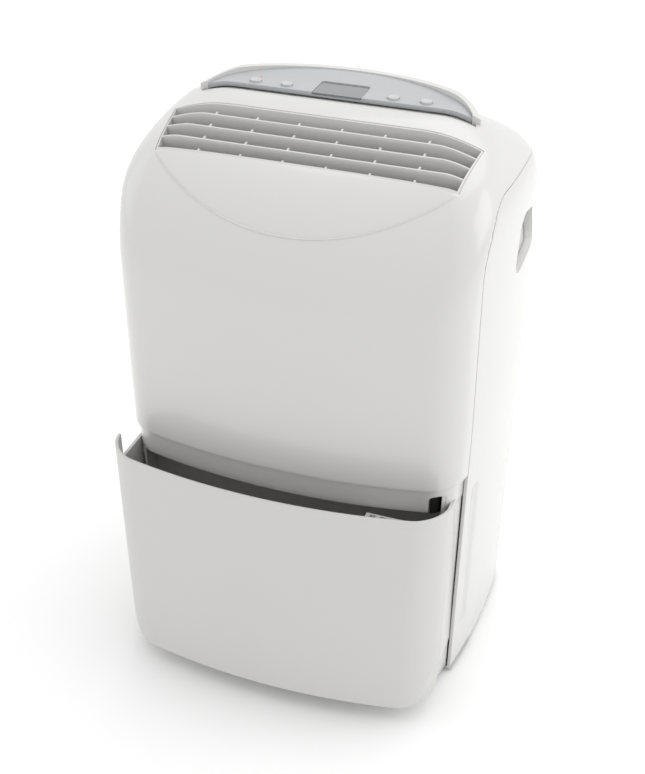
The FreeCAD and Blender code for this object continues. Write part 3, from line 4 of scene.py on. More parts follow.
import bpy
from bpy.props import FloatProperty, FloatVectorProperty, IntProperty, PointerProperty
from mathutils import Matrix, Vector


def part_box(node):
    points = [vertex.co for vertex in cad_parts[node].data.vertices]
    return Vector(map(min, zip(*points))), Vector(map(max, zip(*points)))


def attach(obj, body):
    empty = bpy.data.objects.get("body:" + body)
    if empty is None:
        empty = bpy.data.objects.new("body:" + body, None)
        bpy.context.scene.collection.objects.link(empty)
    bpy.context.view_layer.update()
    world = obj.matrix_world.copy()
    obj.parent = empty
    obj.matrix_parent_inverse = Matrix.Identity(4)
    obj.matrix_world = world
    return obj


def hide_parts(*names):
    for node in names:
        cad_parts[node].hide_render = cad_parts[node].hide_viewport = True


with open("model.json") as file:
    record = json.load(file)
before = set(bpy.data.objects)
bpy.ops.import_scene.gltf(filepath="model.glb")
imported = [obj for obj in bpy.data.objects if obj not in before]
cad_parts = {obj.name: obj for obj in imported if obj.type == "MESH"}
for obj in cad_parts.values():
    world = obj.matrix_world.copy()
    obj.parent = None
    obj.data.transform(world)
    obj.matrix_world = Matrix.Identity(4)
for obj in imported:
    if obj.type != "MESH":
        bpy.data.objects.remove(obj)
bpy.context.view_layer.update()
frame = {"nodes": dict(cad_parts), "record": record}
SLOT_OF = {part["node"]: part["material_slot"] for part in frame["record"]["subparts"]}

bl_info = {
    "name": "Dehumidifier",
    "version": (1, 0, 0),
    "blender": (4, 5, 0),
    "location": "View3D > Sidebar > Dehumidifier",
    "description": "Builds the shells, controls and finishes of a domestic dehumidifier",
    "category": "Object",
}

# Places read from the fixed frame, in metres
COVER_LOW, COVER_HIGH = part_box("front_cover")
REAR_LOW, REAR_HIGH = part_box("rear_casing")
TANK_LOW, TANK_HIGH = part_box("tank_front")
HUMP_LOW, HUMP_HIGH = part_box("top_housing")
PANEL_LOW, PANEL_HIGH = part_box("control_panel")
GRILLE_LOW, GRILLE_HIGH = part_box("outlet_grille")
CUP_LOW, CUP_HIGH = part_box("handle_cup_right")
WINDOW_LOW, WINDOW_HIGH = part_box("display_window")
INTAKE_LOW, INTAKE_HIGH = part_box("intake_grille")
GLAND_LOW, GLAND_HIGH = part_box("power_gland")
SPIGOT_LOW, SPIGOT_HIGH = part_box("drain_spigot")
SCREWS_LOW, SCREWS_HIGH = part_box("casing_screws")
HALF = REAR_HIGH.x
FRONT_Y = COVER_LOW.y
REAR_Y = REAR_HIGH.y
ROOF_Z = COVER_HIGH.z
FOOT_Z = REAR_LOW.z
TANK_PULL = FRONT_Y - TANK_LOW.y
TANK_TOP_Z = TANK_HIGH.z + 0.001
LIP_Z = COVER_LOW.z
SEAM_Y = REAR_LOW.y
HUMP_FRONT_Y = HUMP_LOW.y
BODY_MIDDLE = Vector((0.0, (FRONT_Y + REAR_Y) / 2, ROOF_Z / 2))
BUTTONS = ("power_button", "mode_button", "humidity_button", "timer_button")

# Sizes that several pieces share, in metres
WRAP = 0.046  # radius of the path round the body's front corners
OUTLET_FRONT_HALF = 0.1367
OUTLET_BACK_HALF = 0.1427
CORNER_FROM = 0.085  # from the middle to where the roof's soft line starts to turn into a corner
CORNER_RUN = 0.055
BACK_BLEND = 0.12  # over which the rear corner's radius grows into the rear shoulder's
FIT = 0.0003  # gap round a piece in its opening
CUT_ROUND = 0.0007  # along the edges that a cut leaves
FORM_FOOT_Z = -0.03  # the body's form ends below the ground and is cut off later
UP = Vector((0, 0, 1))
RIGHT = Vector((1, 0, 0))


def length(name, description, default):
    """A size in metres."""
    return FloatProperty(name=name, description=description, default=default, unit="LENGTH")


class BodySizes(bpy.types.PropertyGroup):
    """Radii and walls of the body's outer surface."""

    front_bow: length("Front bow", "Radius of the front seen from above", 0.640)
    side_bow: length("Side bow", "Radius of the sides seen from above", 0.700)
    side_shift: length("Widest place", "How far behind the middle the body is widest", 0.045)
    rear_bow: length("Rear bow", "Radius of the back seen from above", 0.900)
    front_corner: length("Front corner", "Roundness of the upright front corners", 0.0216)
    rear_corner: length("Rear corner", "Roundness of the upright rear corners", 0.0395)
    shoulder: length("Shoulder", "Radius where the sides roll into the roof", 0.074)
    rear_shoulder: length("Rear shoulder", "Radius where the back rolls into the roof", 0.100)
    brow: length("Brow", "Radius where the front rolls into the leaning outlet", 0.0735)
    roof_blend: length("Roof blend", "Softness between the leaning outlet and the roof", 0.005)
    lean: FloatProperty(name="Lean", description="Slope of the outlet", default=math.radians(22.8),
                        subtype="ANGLE")
    lean_gap: length("Lean gap", "From the outlet's slope to the control housing", 0.012)
    waist: length("Waist", "Height at which the body is full width", 0.300)
    taper: length("Foot taper", "How much narrower each side is at the ground", 0.005)
    wall: length("Wall", "Thickness of the shells", 0.003)
    seam_gap: length("Seam gap", "Width of the parting line", 0.0011)
    seam_corner: length("Seam corner", "Radius of the parting line's upper bend", 0.060)
    cuts: IntProperty(name="Cuts", description="Divisions of each side of the body's form", default=44, min=8)


class TankSizes(bpy.types.PropertyGroup):
    """Sizes of the tank's front and of the lip above it."""

    wall: length("Wall", "Thickness of the tank's front", 0.003)
    rim_round: length("Rim round", "Radius along the tank's rim", 0.0011)
    corner: length("Lower corner", "Radius of the wings' lower corners", 0.012)
    tuck: length("Tuck", "How far the lower corners draw in", 0.0025)
    tuck_height: length("Tuck height", "Height over which the lower corners draw in", 0.045)
    lip_inset: length("Lip inset", "How far the lip stands back from the cover", 0.0038)


class ControlSizes(bpy.types.PropertyGroup):
    """Sizes of the raised housing and the controls."""

    rim: length("Rim", "Width of the raised rim", 0.007)
    edge_round: length("Edge round", "Radius along the rim's edges", 0.0020)
    rise: length("Rise", "How far the housing's rim stands above the roof", 0.009)
    end_rise: length("End rise", "How far the rim stands up at its two ends", 0.0045)
    back_rise: length("Back rise", "How far the fascia climbs to the rim's back", 0.0040)
    strip_depth: length("Strip depth", "Depth of the low strip before the panel", 0.009)
    strip_drop: length("Strip drop", "From the roof down to the low strip", 0.006)


class OutletSizes(bpy.types.PropertyGroup):
    """Sizes of the outlet grille."""

    blades: IntProperty(name="Blades", description="Blades across the outlet", default=3, min=1)
    bays: IntProperty(name="Bays", description="Spaces between the small ribs", default=7, min=2)
    blade_wall: length("Blade wall", "Thickness of a blade", 0.0019)
    blade_drop: length("Blade drop", "Height of a blade", 0.0165)
    blade_lean: FloatProperty(name="Blade lean", description="Lean of the blades from upright",
                              default=math.radians(7), subtype="ANGLE")
    frame_wall: length("Frame wall", "Thickness of the outlet's frame", 0.0018)


def tint(name, description, default):
    """A colour."""
    return FloatVectorProperty(name=name, description=description, default=default, subtype="COLOR", size=4,
                               min=0, max=1)


class FinishColours(bpy.types.PropertyGroup):
    """Colours of the moulded pieces."""

    shell: tint("Shell", "Glossy body plastic", (0.60, 0.596, 0.585, 1.0))
    tank: tint("Tank", "Satin tank plastic", (0.57, 0.566, 0.555, 1.0))
    panel: tint("Panel", "Cool grey fascia", (0.42, 0.43, 0.44, 1.0))


def round_join(first, second, radius):
    """Two gaps joined so that their surfaces meet in a round edge."""
    a = max(first + radius, 0.0)
    b = max(second + radius, 0.0)
    return min(max(first, second), -radius) + math.hypot(a, b)


def ease(value):
    """A smooth step from 0 to 1."""
    value = min(max(value, 0.0), 1.0)
    return value * value * (3 - 2 * value)


def skin_gap(point, tuck=0.0):
    """How far a point stands outside the body's surface; below zero inside."""
    sizes = bpy.context.scene.dehumidifier_body
    x, y, z = abs(point.x), point.y, point.z
    low = max(0.0, 1 - z / sizes.waist)
    middle_y = (FRONT_Y + REAR_Y) / 2 + sizes.side_shift
    side = math.hypot(x - HALF + sizes.side_bow, y - middle_y) - sizes.side_bow + sizes.taper * low
    front = math.hypot(x, y - FRONT_Y - sizes.front_bow) - sizes.front_bow
    rear = math.hypot(x, y - REAR_Y + sizes.rear_bow) - sizes.rear_bow
    start_y = HUMP_FRONT_Y - sizes.lean_gap
    slope = (z - ROOF_Z) * math.cos(sizes.lean) - (y - start_y) * math.sin(sizes.lean)
    roof = z - ROOF_Z
    brow = round_join(front + tuck, slope, sizes.brow)
    shoulder = round_join(side + tuck, roof, sizes.shoulder)
    outward = ease((x - CORNER_FROM) / CORNER_RUN)
    corner = sizes.roof_blend + (sizes.front_corner - sizes.roof_blend) * outward
    upward = ease(0.5 + (roof - side) / BACK_BLEND)
    back = sizes.rear_corner + (sizes.rear_shoulder - sizes.rear_corner) * upward
    return round_join(round_join(brow, shoulder, corner), rear, back)


def reach_skin(anchor, direction, inset=0.0, tuck=0.0):
    """The point where a line from inside the body meets its surface moved inwards by the inset."""
    near, far = 0.0, 0.5
    for _ in range(26):
        middle = (near + far) / 2
        if skin_gap(anchor + direction * middle, tuck) < -inset:
            near = middle
        else:
            far = middle
    return anchor + direction * near


def deselect():
    """Object mode with nothing selected."""
    if bpy.context.object and bpy.context.object.mode != "OBJECT":
        bpy.ops.object.mode_set(mode="OBJECT")
    bpy.ops.object.select_all(action="DESELECT")


def pick(obj):
    """Makes one object the only one selected."""
    deselect()
    obj.select_set(True)
    bpy.context.view_layer.objects.active = obj
    return obj


def fresh(name):
    """The primitive just added, named and with its place in its mesh."""
    obj = bpy.context.active_object
    obj.name = name
    obj.data.name = name
    bpy.ops.object.transform_apply(location=True, rotation=True, scale=True)
    return obj


def modify(obj, kind, **settings):
    """Adds a modifier and applies it."""
    pick(obj)
    modifier = obj.modifiers.new(kind.title(), kind)
    for key, value in settings.items():
        setattr(modifier, key, value)
    bpy.ops.object.modifier_apply(modifier=modifier.name)
    return obj


def bevel(obj, width, segments=2, degrees=60):
    """Rounds the edges sharper than the angle."""
    return modify(obj, "BEVEL", width=width, segments=segments, limit_method="ANGLE",
                  angle_limit=math.radians(degrees))


def carve(obj, tool, operation="DIFFERENCE"):
    """Cuts an object with another, which is then removed."""
    modify(obj, "BOOLEAN", operation=operation, solver="EXACT", object=tool)
    bpy.data.objects.remove(tool)
    return obj


def join_into(first, others):
    """Joins objects into the first one."""
    pick(first)
    for other in others:
        other.select_set(True)
    bpy.ops.object.join()
    return first


def edit_all(obj, *steps):
    """Edit-mode steps, each on the whole of an object's mesh."""
    pick(obj)
    bpy.ops.object.mode_set(mode="EDIT")
    for step in steps:
        bpy.ops.mesh.select_all(action="SELECT")
        step()
    bpy.ops.object.mode_set(mode="OBJECT")
    return obj


def face_out():
    """Edit step: the faces of a closed piece point outwards."""
    bpy.ops.mesh.normals_make_consistent(inside=False)


def flip():
    """Edit step: every face is turned over."""
    bpy.ops.mesh.flip_normals()


def extrude(way):
    """Edit step: a sheet becomes a solid."""
    return lambda: bpy.ops.mesh.extrude_region_move(TRANSFORM_OT_translate={"value": way})


def weld(distance):
    """Edit step: vertices closer than the distance become one."""
    return lambda: bpy.ops.mesh.remove_doubles(threshold=distance)


def mirrored(obj, name):
    """A copy on the other side of the body."""
    copy = obj.copy()
    copy.data = obj.data.copy()
    copy.name = name
    copy.data.name = name
    bpy.context.scene.collection.objects.link(copy)

    def mirror():
        bpy.ops.transform.mirror(constraint_axis=(True, False, False), center_override=(0.0, 0.0, 0.0))

    return edit_all(copy, mirror, face_out)


def soften(obj, width, degrees=50.0, segments=2):
    """Rounds the sharp edges of a cut shell."""
    pick(obj)
    bpy.ops.object.mode_set(mode="EDIT")
    bpy.ops.mesh.select_all(action="SELECT")
    bpy.ops.mesh.remove_doubles(threshold=0.0003)
    bpy.ops.mesh.select_mode(type="EDGE")
    bpy.ops.mesh.select_all(action="DESELECT")
    bpy.ops.mesh.edges_select_sharp(sharpness=math.radians(degrees))
    bpy.ops.mesh.bevel(offset=width, segments=segments, affect="EDGES", clamp_overlap=True)
    bpy.ops.mesh.select_mode(type="VERT")
    bpy.ops.object.mode_set(mode="OBJECT")
    return obj


def smooth(obj, degrees=35.0):
    """Smooth shading that keeps edges sharper than the angle."""
    pick(obj)
    bpy.ops.object.shade_smooth_by_angle(angle=math.radians(degrees))
    return obj


def wrapped(name, columns, rows, place):
    """A grid whose vertices are laid by place(u, v), facing away from the body's middle."""
    deselect()
    bpy.ops.mesh.primitive_grid_add(x_subdivisions=columns, y_subdivisions=rows, size=1.0)
    obj = fresh(name)
    for vertex in obj.data.vertices:
        vertex.co = place(vertex.co.x + 0.5, vertex.co.y + 0.5)
    obj.data.update()
    middle = obj.data.polygons[len(obj.data.polygons) // 2]
    if middle.normal.dot(middle.center - BODY_MIDDLE) < 0:
        edit_all(obj, flip)
    return obj


def slab(name, points, rise):
    """A flat outline of points extruded along a vector into a closed solid."""
    deselect()
    bpy.ops.mesh.primitive_circle_add(vertices=len(points), radius=1.0, fill_type="NGON")
    obj = fresh(name)
    for vertex, point in zip(obj.data.vertices, points):
        vertex.co = point
    obj.data.update()
    return edit_all(obj, extrude(rise), face_out)


def drum(name, centre, radius, depth, turn=0.0, vertices=48):
    """A cylinder, upright or turned about X."""
    deselect()
    bpy.ops.mesh.primitive_cylinder_add(vertices=vertices, radius=radius, depth=depth, location=centre,
                                        rotation=(turn, 0, 0))
    return fresh(name)


def rounded(corners, steps=8):
    """The points of a closed outline whose corners, (point, radius), are rounded."""
    points = []
    for index, (point, radius) in enumerate(corners):
        if radius == 0:
            points.append(point)
            continue
        back = (corners[index - 1][0] - point).normalized()
        ahead = (corners[(index + 1) % len(corners)][0] - point).normalized()
        half = back.angle(ahead) / 2
        centre = point + (back + ahead).normalized() * (radius / math.sin(half))
        start = (point + back * (radius / math.tan(half)) - centre).normalized()
        end = (point + ahead * (radius / math.tan(half)) - centre).normalized()
        for step in range(steps + 1):
            points.append(centre + start.slerp(end, step / steps) * radius)
    return points


def finish_piece(obj, body, slot, *nodes):
    """Hands a finished piece to the frame."""
    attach(obj, body)
    if nodes:
        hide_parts(*nodes)
    obj.data.materials.clear()
    obj.data.materials.append(finish_of(slot))
    return obj


# Finishes


def surface_group():
    """The shared effect of a moulded or painted surface: slight mottling and a fine grain."""
    name = "Moulded surface"
    if name in bpy.data.node_groups:
        return bpy.data.node_groups[name]
    group = bpy.data.node_groups.new(name, "ShaderNodeTree")
    face = group.interface
    colour = face.new_socket(name="Colour", in_out="INPUT", socket_type="NodeSocketColor")
    colour.default_value = (0.8, 0.8, 0.8, 1.0)
    settings = (("Mottle", 0.02), ("Roughness", 0.4), ("Roughness spread", 0.05), ("Grain size", 0.0012),
                ("Grain depth", 0.00002), ("Ripple", 0.00004))
    for label, value in settings:
        socket = face.new_socket(name=label, in_out="INPUT", socket_type="NodeSocketFloat")
        socket.default_value = value
    face.new_socket(name="Colour", in_out="OUTPUT", socket_type="NodeSocketColor")
    face.new_socket(name="Roughness", in_out="OUTPUT", socket_type="NodeSocketFloat")
    face.new_socket(name="Normal", in_out="OUTPUT", socket_type="NodeSocketVector")
    nodes, links = group.nodes, group.links
    inputs = nodes.new("NodeGroupInput")
    outputs = nodes.new("NodeGroupOutput")
    place = nodes.new("ShaderNodeTexCoord")

    def noise(scale, detail):
        texture = nodes.new("ShaderNodeTexNoise")
        texture.inputs["Scale"].default_value = scale
        texture.inputs["Detail"].default_value = detail
        links.new(place.outputs["Object"], texture.inputs["Vector"])
        return texture

    def maths(operation, first, second):
        node = nodes.new("ShaderNodeMath")
        node.operation = operation
        for socket, value in zip(node.inputs, (first, second)):
            if isinstance(value, (int, float)):
                socket.default_value = value
            else:
                links.new(value, socket)
        return node.outputs[0]

    cloud = noise(9.0, 3.0)
    centred = maths("SUBTRACT", cloud.outputs["Fac"], 0.5)
    shade = maths("ADD", maths("MULTIPLY", centred, inputs.outputs["Mottle"]), 1.0)
    tint = nodes.new("ShaderNodeMix")
    tint.data_type = "RGBA"
    tint.blend_type = "MULTIPLY"
    tint.inputs["Factor"].default_value = 1.0
    links.new(inputs.outputs["Colour"], tint.inputs["A"])
    links.new(shade, tint.inputs["B"])
    links.new(tint.outputs["Result"], outputs.inputs["Colour"])
    smear = noise(40.0, 4.0)
    uneven = maths("SUBTRACT", smear.outputs["Fac"], 0.5)
    spread = maths("MULTIPLY", uneven, inputs.outputs["Roughness spread"])
    links.new(maths("ADD", spread, inputs.outputs["Roughness"]), outputs.inputs["Roughness"])
    grain = noise(1.0, 1.0)
    links.new(maths("DIVIDE", 1.0, inputs.outputs["Grain size"]), grain.inputs["Scale"])
    bump = nodes.new("ShaderNodeBump")
    bump.inputs["Distance"].default_value = 1.0
    bump.inputs["Strength"].default_value = 1.0
    wave = noise(22.0, 1.0)
    height = maths("ADD", maths("MULTIPLY", grain.outputs["Fac"], inputs.outputs["Grain depth"]),
                   maths("MULTIPLY", wave.outputs["Fac"], inputs.outputs["Ripple"]))
    links.new(height, bump.inputs["Height"])
    links.new(bump.outputs["Normal"], outputs.inputs["Normal"])
    return group


def surface(name, colour, sockets, roughness=0.4, spread=0.05, mottle=0.02, grain=0.0012, depth=0.00001,
            ripple=0.00002):
    """A material on the shared surface effect; the sockets' values go to the shader itself."""
    if name in bpy.data.materials:
        return bpy.data.materials[name]
    material = bpy.data.materials.new(name)
    material.use_nodes = True
    nodes, links = material.node_tree.nodes, material.node_tree.links
    principled = nodes["Principled BSDF"]
    effect = nodes.new("ShaderNodeGroup")
    effect.node_tree = surface_group()
    values = {"Colour": tuple(colour), "Mottle": mottle, "Roughness": roughness, "Roughness spread": spread,
              "Grain size": grain, "Grain depth": depth, "Ripple": ripple}
    for label, value in values.items():
        effect.inputs[label].default_value = value
    links.new(effect.outputs["Colour"], principled.inputs["Base Color"])
    links.new(effect.outputs["Roughness"], principled.inputs["Roughness"])
    links.new(effect.outputs["Normal"], principled.inputs["Normal"])
    for label, value in sockets.items():
        principled.inputs[label].default_value = value
    return material


def ribs(material, axis, pitch):
    """A mask of fine ribs that repeat along an axis."""
    nodes, links = material.node_tree.nodes, material.node_tree.links
    place = nodes.new("ShaderNodeTexCoord")
    wave = nodes.new("ShaderNodeTexWave")
    wave.bands_direction = axis
    wave.inputs["Scale"].default_value = math.tau / pitch / 20
    links.new(place.outputs["Object"], wave.inputs["Vector"])
    return wave.outputs["Fac"]


def striped(material, axis, pitch, depth, dark):
    """Adds fine ribs along an axis, with painted shade in their valleys, to a material."""
    nodes, links = material.node_tree.nodes, material.node_tree.links
    principled = nodes["Principled BSDF"]
    mask = ribs(material, axis, pitch)
    bump = nodes.new("ShaderNodeBump")
    bump.inputs["Distance"].default_value = depth
    links.new(mask, bump.inputs["Height"])
    links.new(principled.inputs["Normal"].links[0].from_socket, bump.inputs["Normal"])
    links.new(bump.outputs["Normal"], principled.inputs["Normal"])
    # Painted shade: the colour is mixed towards the dark valley colour between the ribs
    shade = nodes.new("ShaderNodeMix")
    shade.data_type = "RGBA"
    shade.blend_type = "MIX"
    links.new(mask, shade.inputs["Factor"])
    shade.inputs["A"].default_value = dark
    links.new(principled.inputs["Base Color"].links[0].from_socket, shade.inputs["B"])
    links.new(shade.outputs["Result"], principled.inputs["Base Color"])
    return material


def woven(material, pitch):
    """Opens a material into a square net of threads."""
    nodes, links = material.node_tree.nodes, material.node_tree.links
    larger = nodes.new("ShaderNodeMath")
    larger.operation = "MAXIMUM"
    for socket, axis in zip(larger.inputs, ("X", "Z")):
        links.new(ribs(material, axis, pitch), socket)
    net = nodes.new("ShaderNodeMath")
    net.operation = "GREATER_THAN"
    links.new(larger.outputs[0], net.inputs[0])
    net.inputs[1].default_value = 0.55
    links.new(net.outputs[0], nodes["Principled BSDF"].inputs["Alpha"])
    return material


# Each finish: its name, its colour or the setting that holds it, then roughness, roughness spread, mottle,
# grain size, grain depth and ripple as far as they differ from surface()'s own, and the shader's sockets
FINISHES = {
    "shell_gloss": ("Gloss shell plastic", "shell", (0.24, 0.04, 0.015, 0.0011, 0.000004, 0.00003),
                    {"Coat Weight": 0.35, "Coat Roughness": 0.08}),
    "grip_plastic": ("Grip plastic", "shell", (0.36, 0.05, 0.02, 0.0009), {}),
    "tank_shell": ("Satin tank plastic", "tank", (0.42, 0.05, 0.02, 0.0010, 0.000012), {}),
    "grille_plastic": ("Grille plastic", "shell", (0.38, 0.05, 0.02, 0.0009), {}),
    "panel_grey": ("Grey fascia", "panel", (0.33, 0.04, 0.02, 0.0007, 0.000008), {}),
    "smoked_window": ("Smoked window", (0.16, 0.17, 0.18, 1), (0.08, 0.03, 0.01, 0.002, 0.0, 0.00001),
                      {"Coat Weight": 0.6, "Coat Roughness": 0.04}),
    "display": ("Display", (0.05, 0.05, 0.05, 1), (0.3,), {}),
    "circuit_board": ("Circuit board", (0.03, 0.16, 0.07, 1), (0.4, 0.1, 0.3, 0.003, 0.00002), {}),
    "switch_black": ("Black switch plastic", (0.03, 0.03, 0.03, 1), (0.45,), {}),
    "lamp_lens": ("Lamp lens", (0.75, 0.24, 0.05, 1), (0.15, 0.03), {"Coat Weight": 0.5}),
    "button_plastic": ("Button plastic", (0.50, 0.51, 0.52, 1), (0.3, 0.04, 0.02, 0.0006, 0.000006), {}),
    "tank_box": ("Container plastic", (0.60, 0.595, 0.575, 1), (0.3, 0.06, 0.03, 0.0010, 0.00001, 0.00004),
                 {}),
    "lever_black": ("Black lever plastic", (0.012, 0.012, 0.012, 1), (0.35,), {}),
    "float_foam": ("Float foam", (0.8, 0.8, 0.77, 1), (0.85, 0.1, 0.06, 0.0016, 0.0002), {}),
    "steel": ("Bright steel", (0.56, 0.56, 0.57, 1), (0.3, 0.15, 0.05, 0.0008), {"Metallic": 1.0}),
    "base_plastic": ("Base plastic", (0.44, 0.44, 0.435, 1), (0.5, 0.08, 0.03, 0.0010, 0.00002), {}),
    "rubber": ("Black rubber", (0.022, 0.022, 0.022, 1), (0.75, 0.1, 0.1, 0.0008, 0.00004), {}),
    "fin_aluminium": ("Finned aluminium", (0.72, 0.73, 0.74, 1), (0.32, 0.1, 0.05, 0.002), {"Metallic": 1.0}),
    "fan_plastic": ("Fan plastic", (0.11, 0.115, 0.12, 1), (0.5, 0.08, 0.05, 0.0010, 0.00002), {}),
    "motor_paint": ("Motor paint", (0.30, 0.31, 0.32, 1), (0.35, 0.08, 0.04, 0.0015, 0.00002),
                    {"Metallic": 0.4}),
    "black_paint": ("Black paint", (0.015, 0.015, 0.016, 1), (0.3, 0.08, 0.1, 0.002, 0.00005), {}),
    "copper_tube": ("Copper tube", (0.72, 0.34, 0.20, 1), (0.28, 0.15, 0.12, 0.002), {"Metallic": 1.0}),
    "filter_plastic": ("Filter plastic", (0.06, 0.065, 0.07, 1), (0.5, 0.06, 0.04), {}),
    "mesh_fabric": ("Dust net", (0.06, 0.06, 0.065, 1), (0.7, 0.1, 0.1), {}),
}
# The fins' valley colour is painted shade between the fins, not a colour of the metal
FIN_PITCH, FIN_DEPTH, FIN_VALLEY_SHADE = 0.0018, 0.0006, (0.12, 0.12, 0.13, 1)
NET_PITCH = 0.0016


def finish_of(slot):
    """The material of a record slot."""
    name, colour, values, sockets = FINISHES[slot]
    if isinstance(colour, str):
        colour = getattr(bpy.context.scene.dehumidifier_finish, colour)
    material = surface(name, colour, sockets, *values)
    if slot == "fin_aluminium":
        # Fine ribs with painted shade in their valleys
        striped(material, "X", FIN_PITCH, FIN_DEPTH, FIN_VALLEY_SHADE)
    if slot == "mesh_fabric":
        woven(material, NET_PITCH)
    return material


# Shapes


def body_form(inset, cuts):
    """The body's outer surface moved inwards by the inset, as a form that is closed below the ground."""
    sizes = bpy.context.scene.dehumidifier_body
    deselect()
    bpy.ops.mesh.primitive_cube_add(size=2.0)
    form = edit_all(fresh("body_form"), lambda: bpy.ops.mesh.subdivide(number_cuts=cuts))
    low = Vector((-HALF, FRONT_Y, FORM_FOOT_Z))
    high = Vector((HALF, REAR_Y, ROOF_Z))
    round_by = sizes.shoulder + 0.004
    core_low = (low.x + round_by, low.y + round_by, low.z)
    core_high = (high.x - round_by, high.y - round_by, high.z - round_by)
    for vertex in form.data.vertices:
        share = (vertex.co + Vector((1, 1, 1))) / 2
        point = Vector([low[i] + (high[i] - low[i]) * share[i] for i in range(3)])
        anchor = Vector([min(max(point[i], core_low[i]), core_high[i]) for i in range(3)])
        if point.z <= low.z + 1e-6:
            anchor.z = low.z
            point.z = low.z
        direction = point - anchor
        if direction.length < 1e-6:
            vertex.co = point
        else:
            vertex.co = reach_skin(anchor, direction.normalized(), inset)
    form.data.update()
    return form


def body_wall():
    """The whole body as a hollow wall: an outer form and an inner one turned inside out."""
    sizes = bpy.context.scene.dehumidifier_body
    outer = body_form(0.0, sizes.cuts)
    inner = edit_all(body_form(sizes.wall, sizes.cuts // 2), flip)
    for vertex in inner.data.vertices:
        if vertex.co.z < FORM_FOOT_Z + 0.001:
            vertex.co.z += sizes.wall
    return join_into(outer, [inner])


def seam_outline(gap, low, ahead):
    """The parting line seen from the side, closed round what lies behind it or ahead of it."""
    sizes = bpy.context.scene.dehumidifier_body
    seam_z = REAR_HIGH.z - gap
    seam_y = SEAM_Y + gap
    far = 0.6
    bend = rounded([
        (Vector((-far, seam_y, low)), 0),
        (Vector((-far, seam_y, seam_z)), sizes.seam_corner),
        (Vector((-far, far, seam_z)), 0),
        (Vector((-far, far, low)), 0),
    ], 16)
    if not ahead:
        return bend
    line = bend[:-1]
    return line + [Vector((-far, far, 0.7)), Vector((-far, -far, 0.7)), Vector((-far, -far, low))]


def rectangle(low_x, high_x, low_y, high_y, level):
    """A level rectangle's corners."""
    return [Vector((low_x, low_y, level)), Vector((high_x, low_y, level)), Vector((high_x, high_y, level)),
            Vector((low_x, high_y, level))]


def outlet_outline(grow, level):
    """The outlet's outline from above, a little wider at the back."""
    front, back = OUTLET_FRONT_HALF + grow, OUTLET_BACK_HALF + grow
    front_y, back_y = GRILLE_LOW.y - grow, GRILLE_HIGH.y + grow
    return [Vector((-front, front_y, level)), Vector((front, front_y, level)), Vector((back, back_y, level)),
            Vector((-back, back_y, level))]


def hump_outline(inset, front_y, level, steps=64):
    """The control housing's outline: a straight front and a full, bowed back."""
    fuller, squareness = 0.004, 0.555
    half = HUMP_HIGH.x - inset
    reach = HUMP_HIGH.y + fuller - inset - HUMP_FRONT_Y
    points = []
    for step in range(steps + 1):
        turn = math.pi * step / steps
        x = half * math.cos(turn)
        y = HUMP_FRONT_Y + reach * max(0.0, 1 - (x / half) ** 2) ** squareness
        if y >= front_y:
            points.append(Vector((x, y, level)))
    first, last = points[0], points[-1]
    return [Vector((first.x, front_y, level))] + points + [Vector((last.x, front_y, level))]


def roof_height(x, y):
    """Height of the body's surface above a place in the plan."""
    return reach_skin(Vector((x, y, ROOF_Z - 0.2)), UP).z


def roof_cap(middle, ends, back_rise=0.0):
    """A solid whose top follows the roof, raised more in the middle than at the ends."""
    half, front, back = 0.150, HUMP_FRONT_Y - 0.06, HUMP_HIGH.y + 0.012
    droop_from, droop_run = 0.095, 0.050
    level_from = HUMP_FRONT_Y + 0.010
    climb_from, climb_run = WINDOW_HIGH.y - 0.004, HUMP_HIGH.y - WINDOW_HIGH.y

    def place(u, v):
        x, y = (2 * u - 1) * half, front + (back - front) * v
        rise = middle + (ends - middle) * ease((abs(x) - droop_from) / droop_run)
        rise += back_rise * max(0.0, (y - climb_from) / climb_run)
        return Vector((x, y, roof_height(x, min(y, level_from)) + rise))

    return edit_all(wrapped("cap", 60, 30, place), extrude(UP * -0.075), face_out)


def grip_outline(grow, x):
    """The slanted D of the side grip, from the side."""
    low, high = CUP_LOW, CUP_HIGH
    tall = high.z - low.z
    long = high.y - low.y
    corners = [
        (Vector((x, low.y - 0.01 * long - grow, low.z + 0.06 * tall - grow)), 0.012 + grow),
        (Vector((x, high.y - 0.20 * long + grow * 0.5, low.z + 0.17 * tall - grow)), 0.020 + grow),
        (Vector((x, high.y - 0.03 * long + grow, high.z - 0.24 * tall + grow)), 0.012 + grow),
        (Vector((x, low.y + 0.13 * long - grow * 0.5, high.z + 0.08 * tall + grow)), 0.018 + grow),
    ]
    return rounded(corners, 8)


def around(u, wing, z, inset=0.0, tuck=0.0):
    """A point on the body's front and wings: u runs from the left wing's back edge to the right one's."""
    inner = HALF - WRAP
    centre_y = FRONT_Y + WRAP
    runs = [wing, WRAP * math.pi / 2, 2 * inner, WRAP * math.pi / 2, wing]
    place = u * sum(runs)
    index = 0
    while index < 4 and place > runs[index]:
        place -= runs[index]
        index += 1
    if index == 0:
        anchor, turn = Vector((-inner, centre_y + wing - place, z)), math.pi
    elif index == 1:
        anchor, turn = Vector((-inner, centre_y, z)), math.pi + place / WRAP
    elif index == 2:
        anchor, turn = Vector((-inner + place, centre_y, z)), 1.5 * math.pi
    elif index == 3:
        anchor, turn = Vector((inner, centre_y, z)), 1.5 * math.pi + place / WRAP
    else:
        anchor, turn = Vector((inner, centre_y + place, z)), math.tau
    return reach_skin(anchor, Vector((math.cos(turn), math.sin(turn), 0)), inset, tuck)


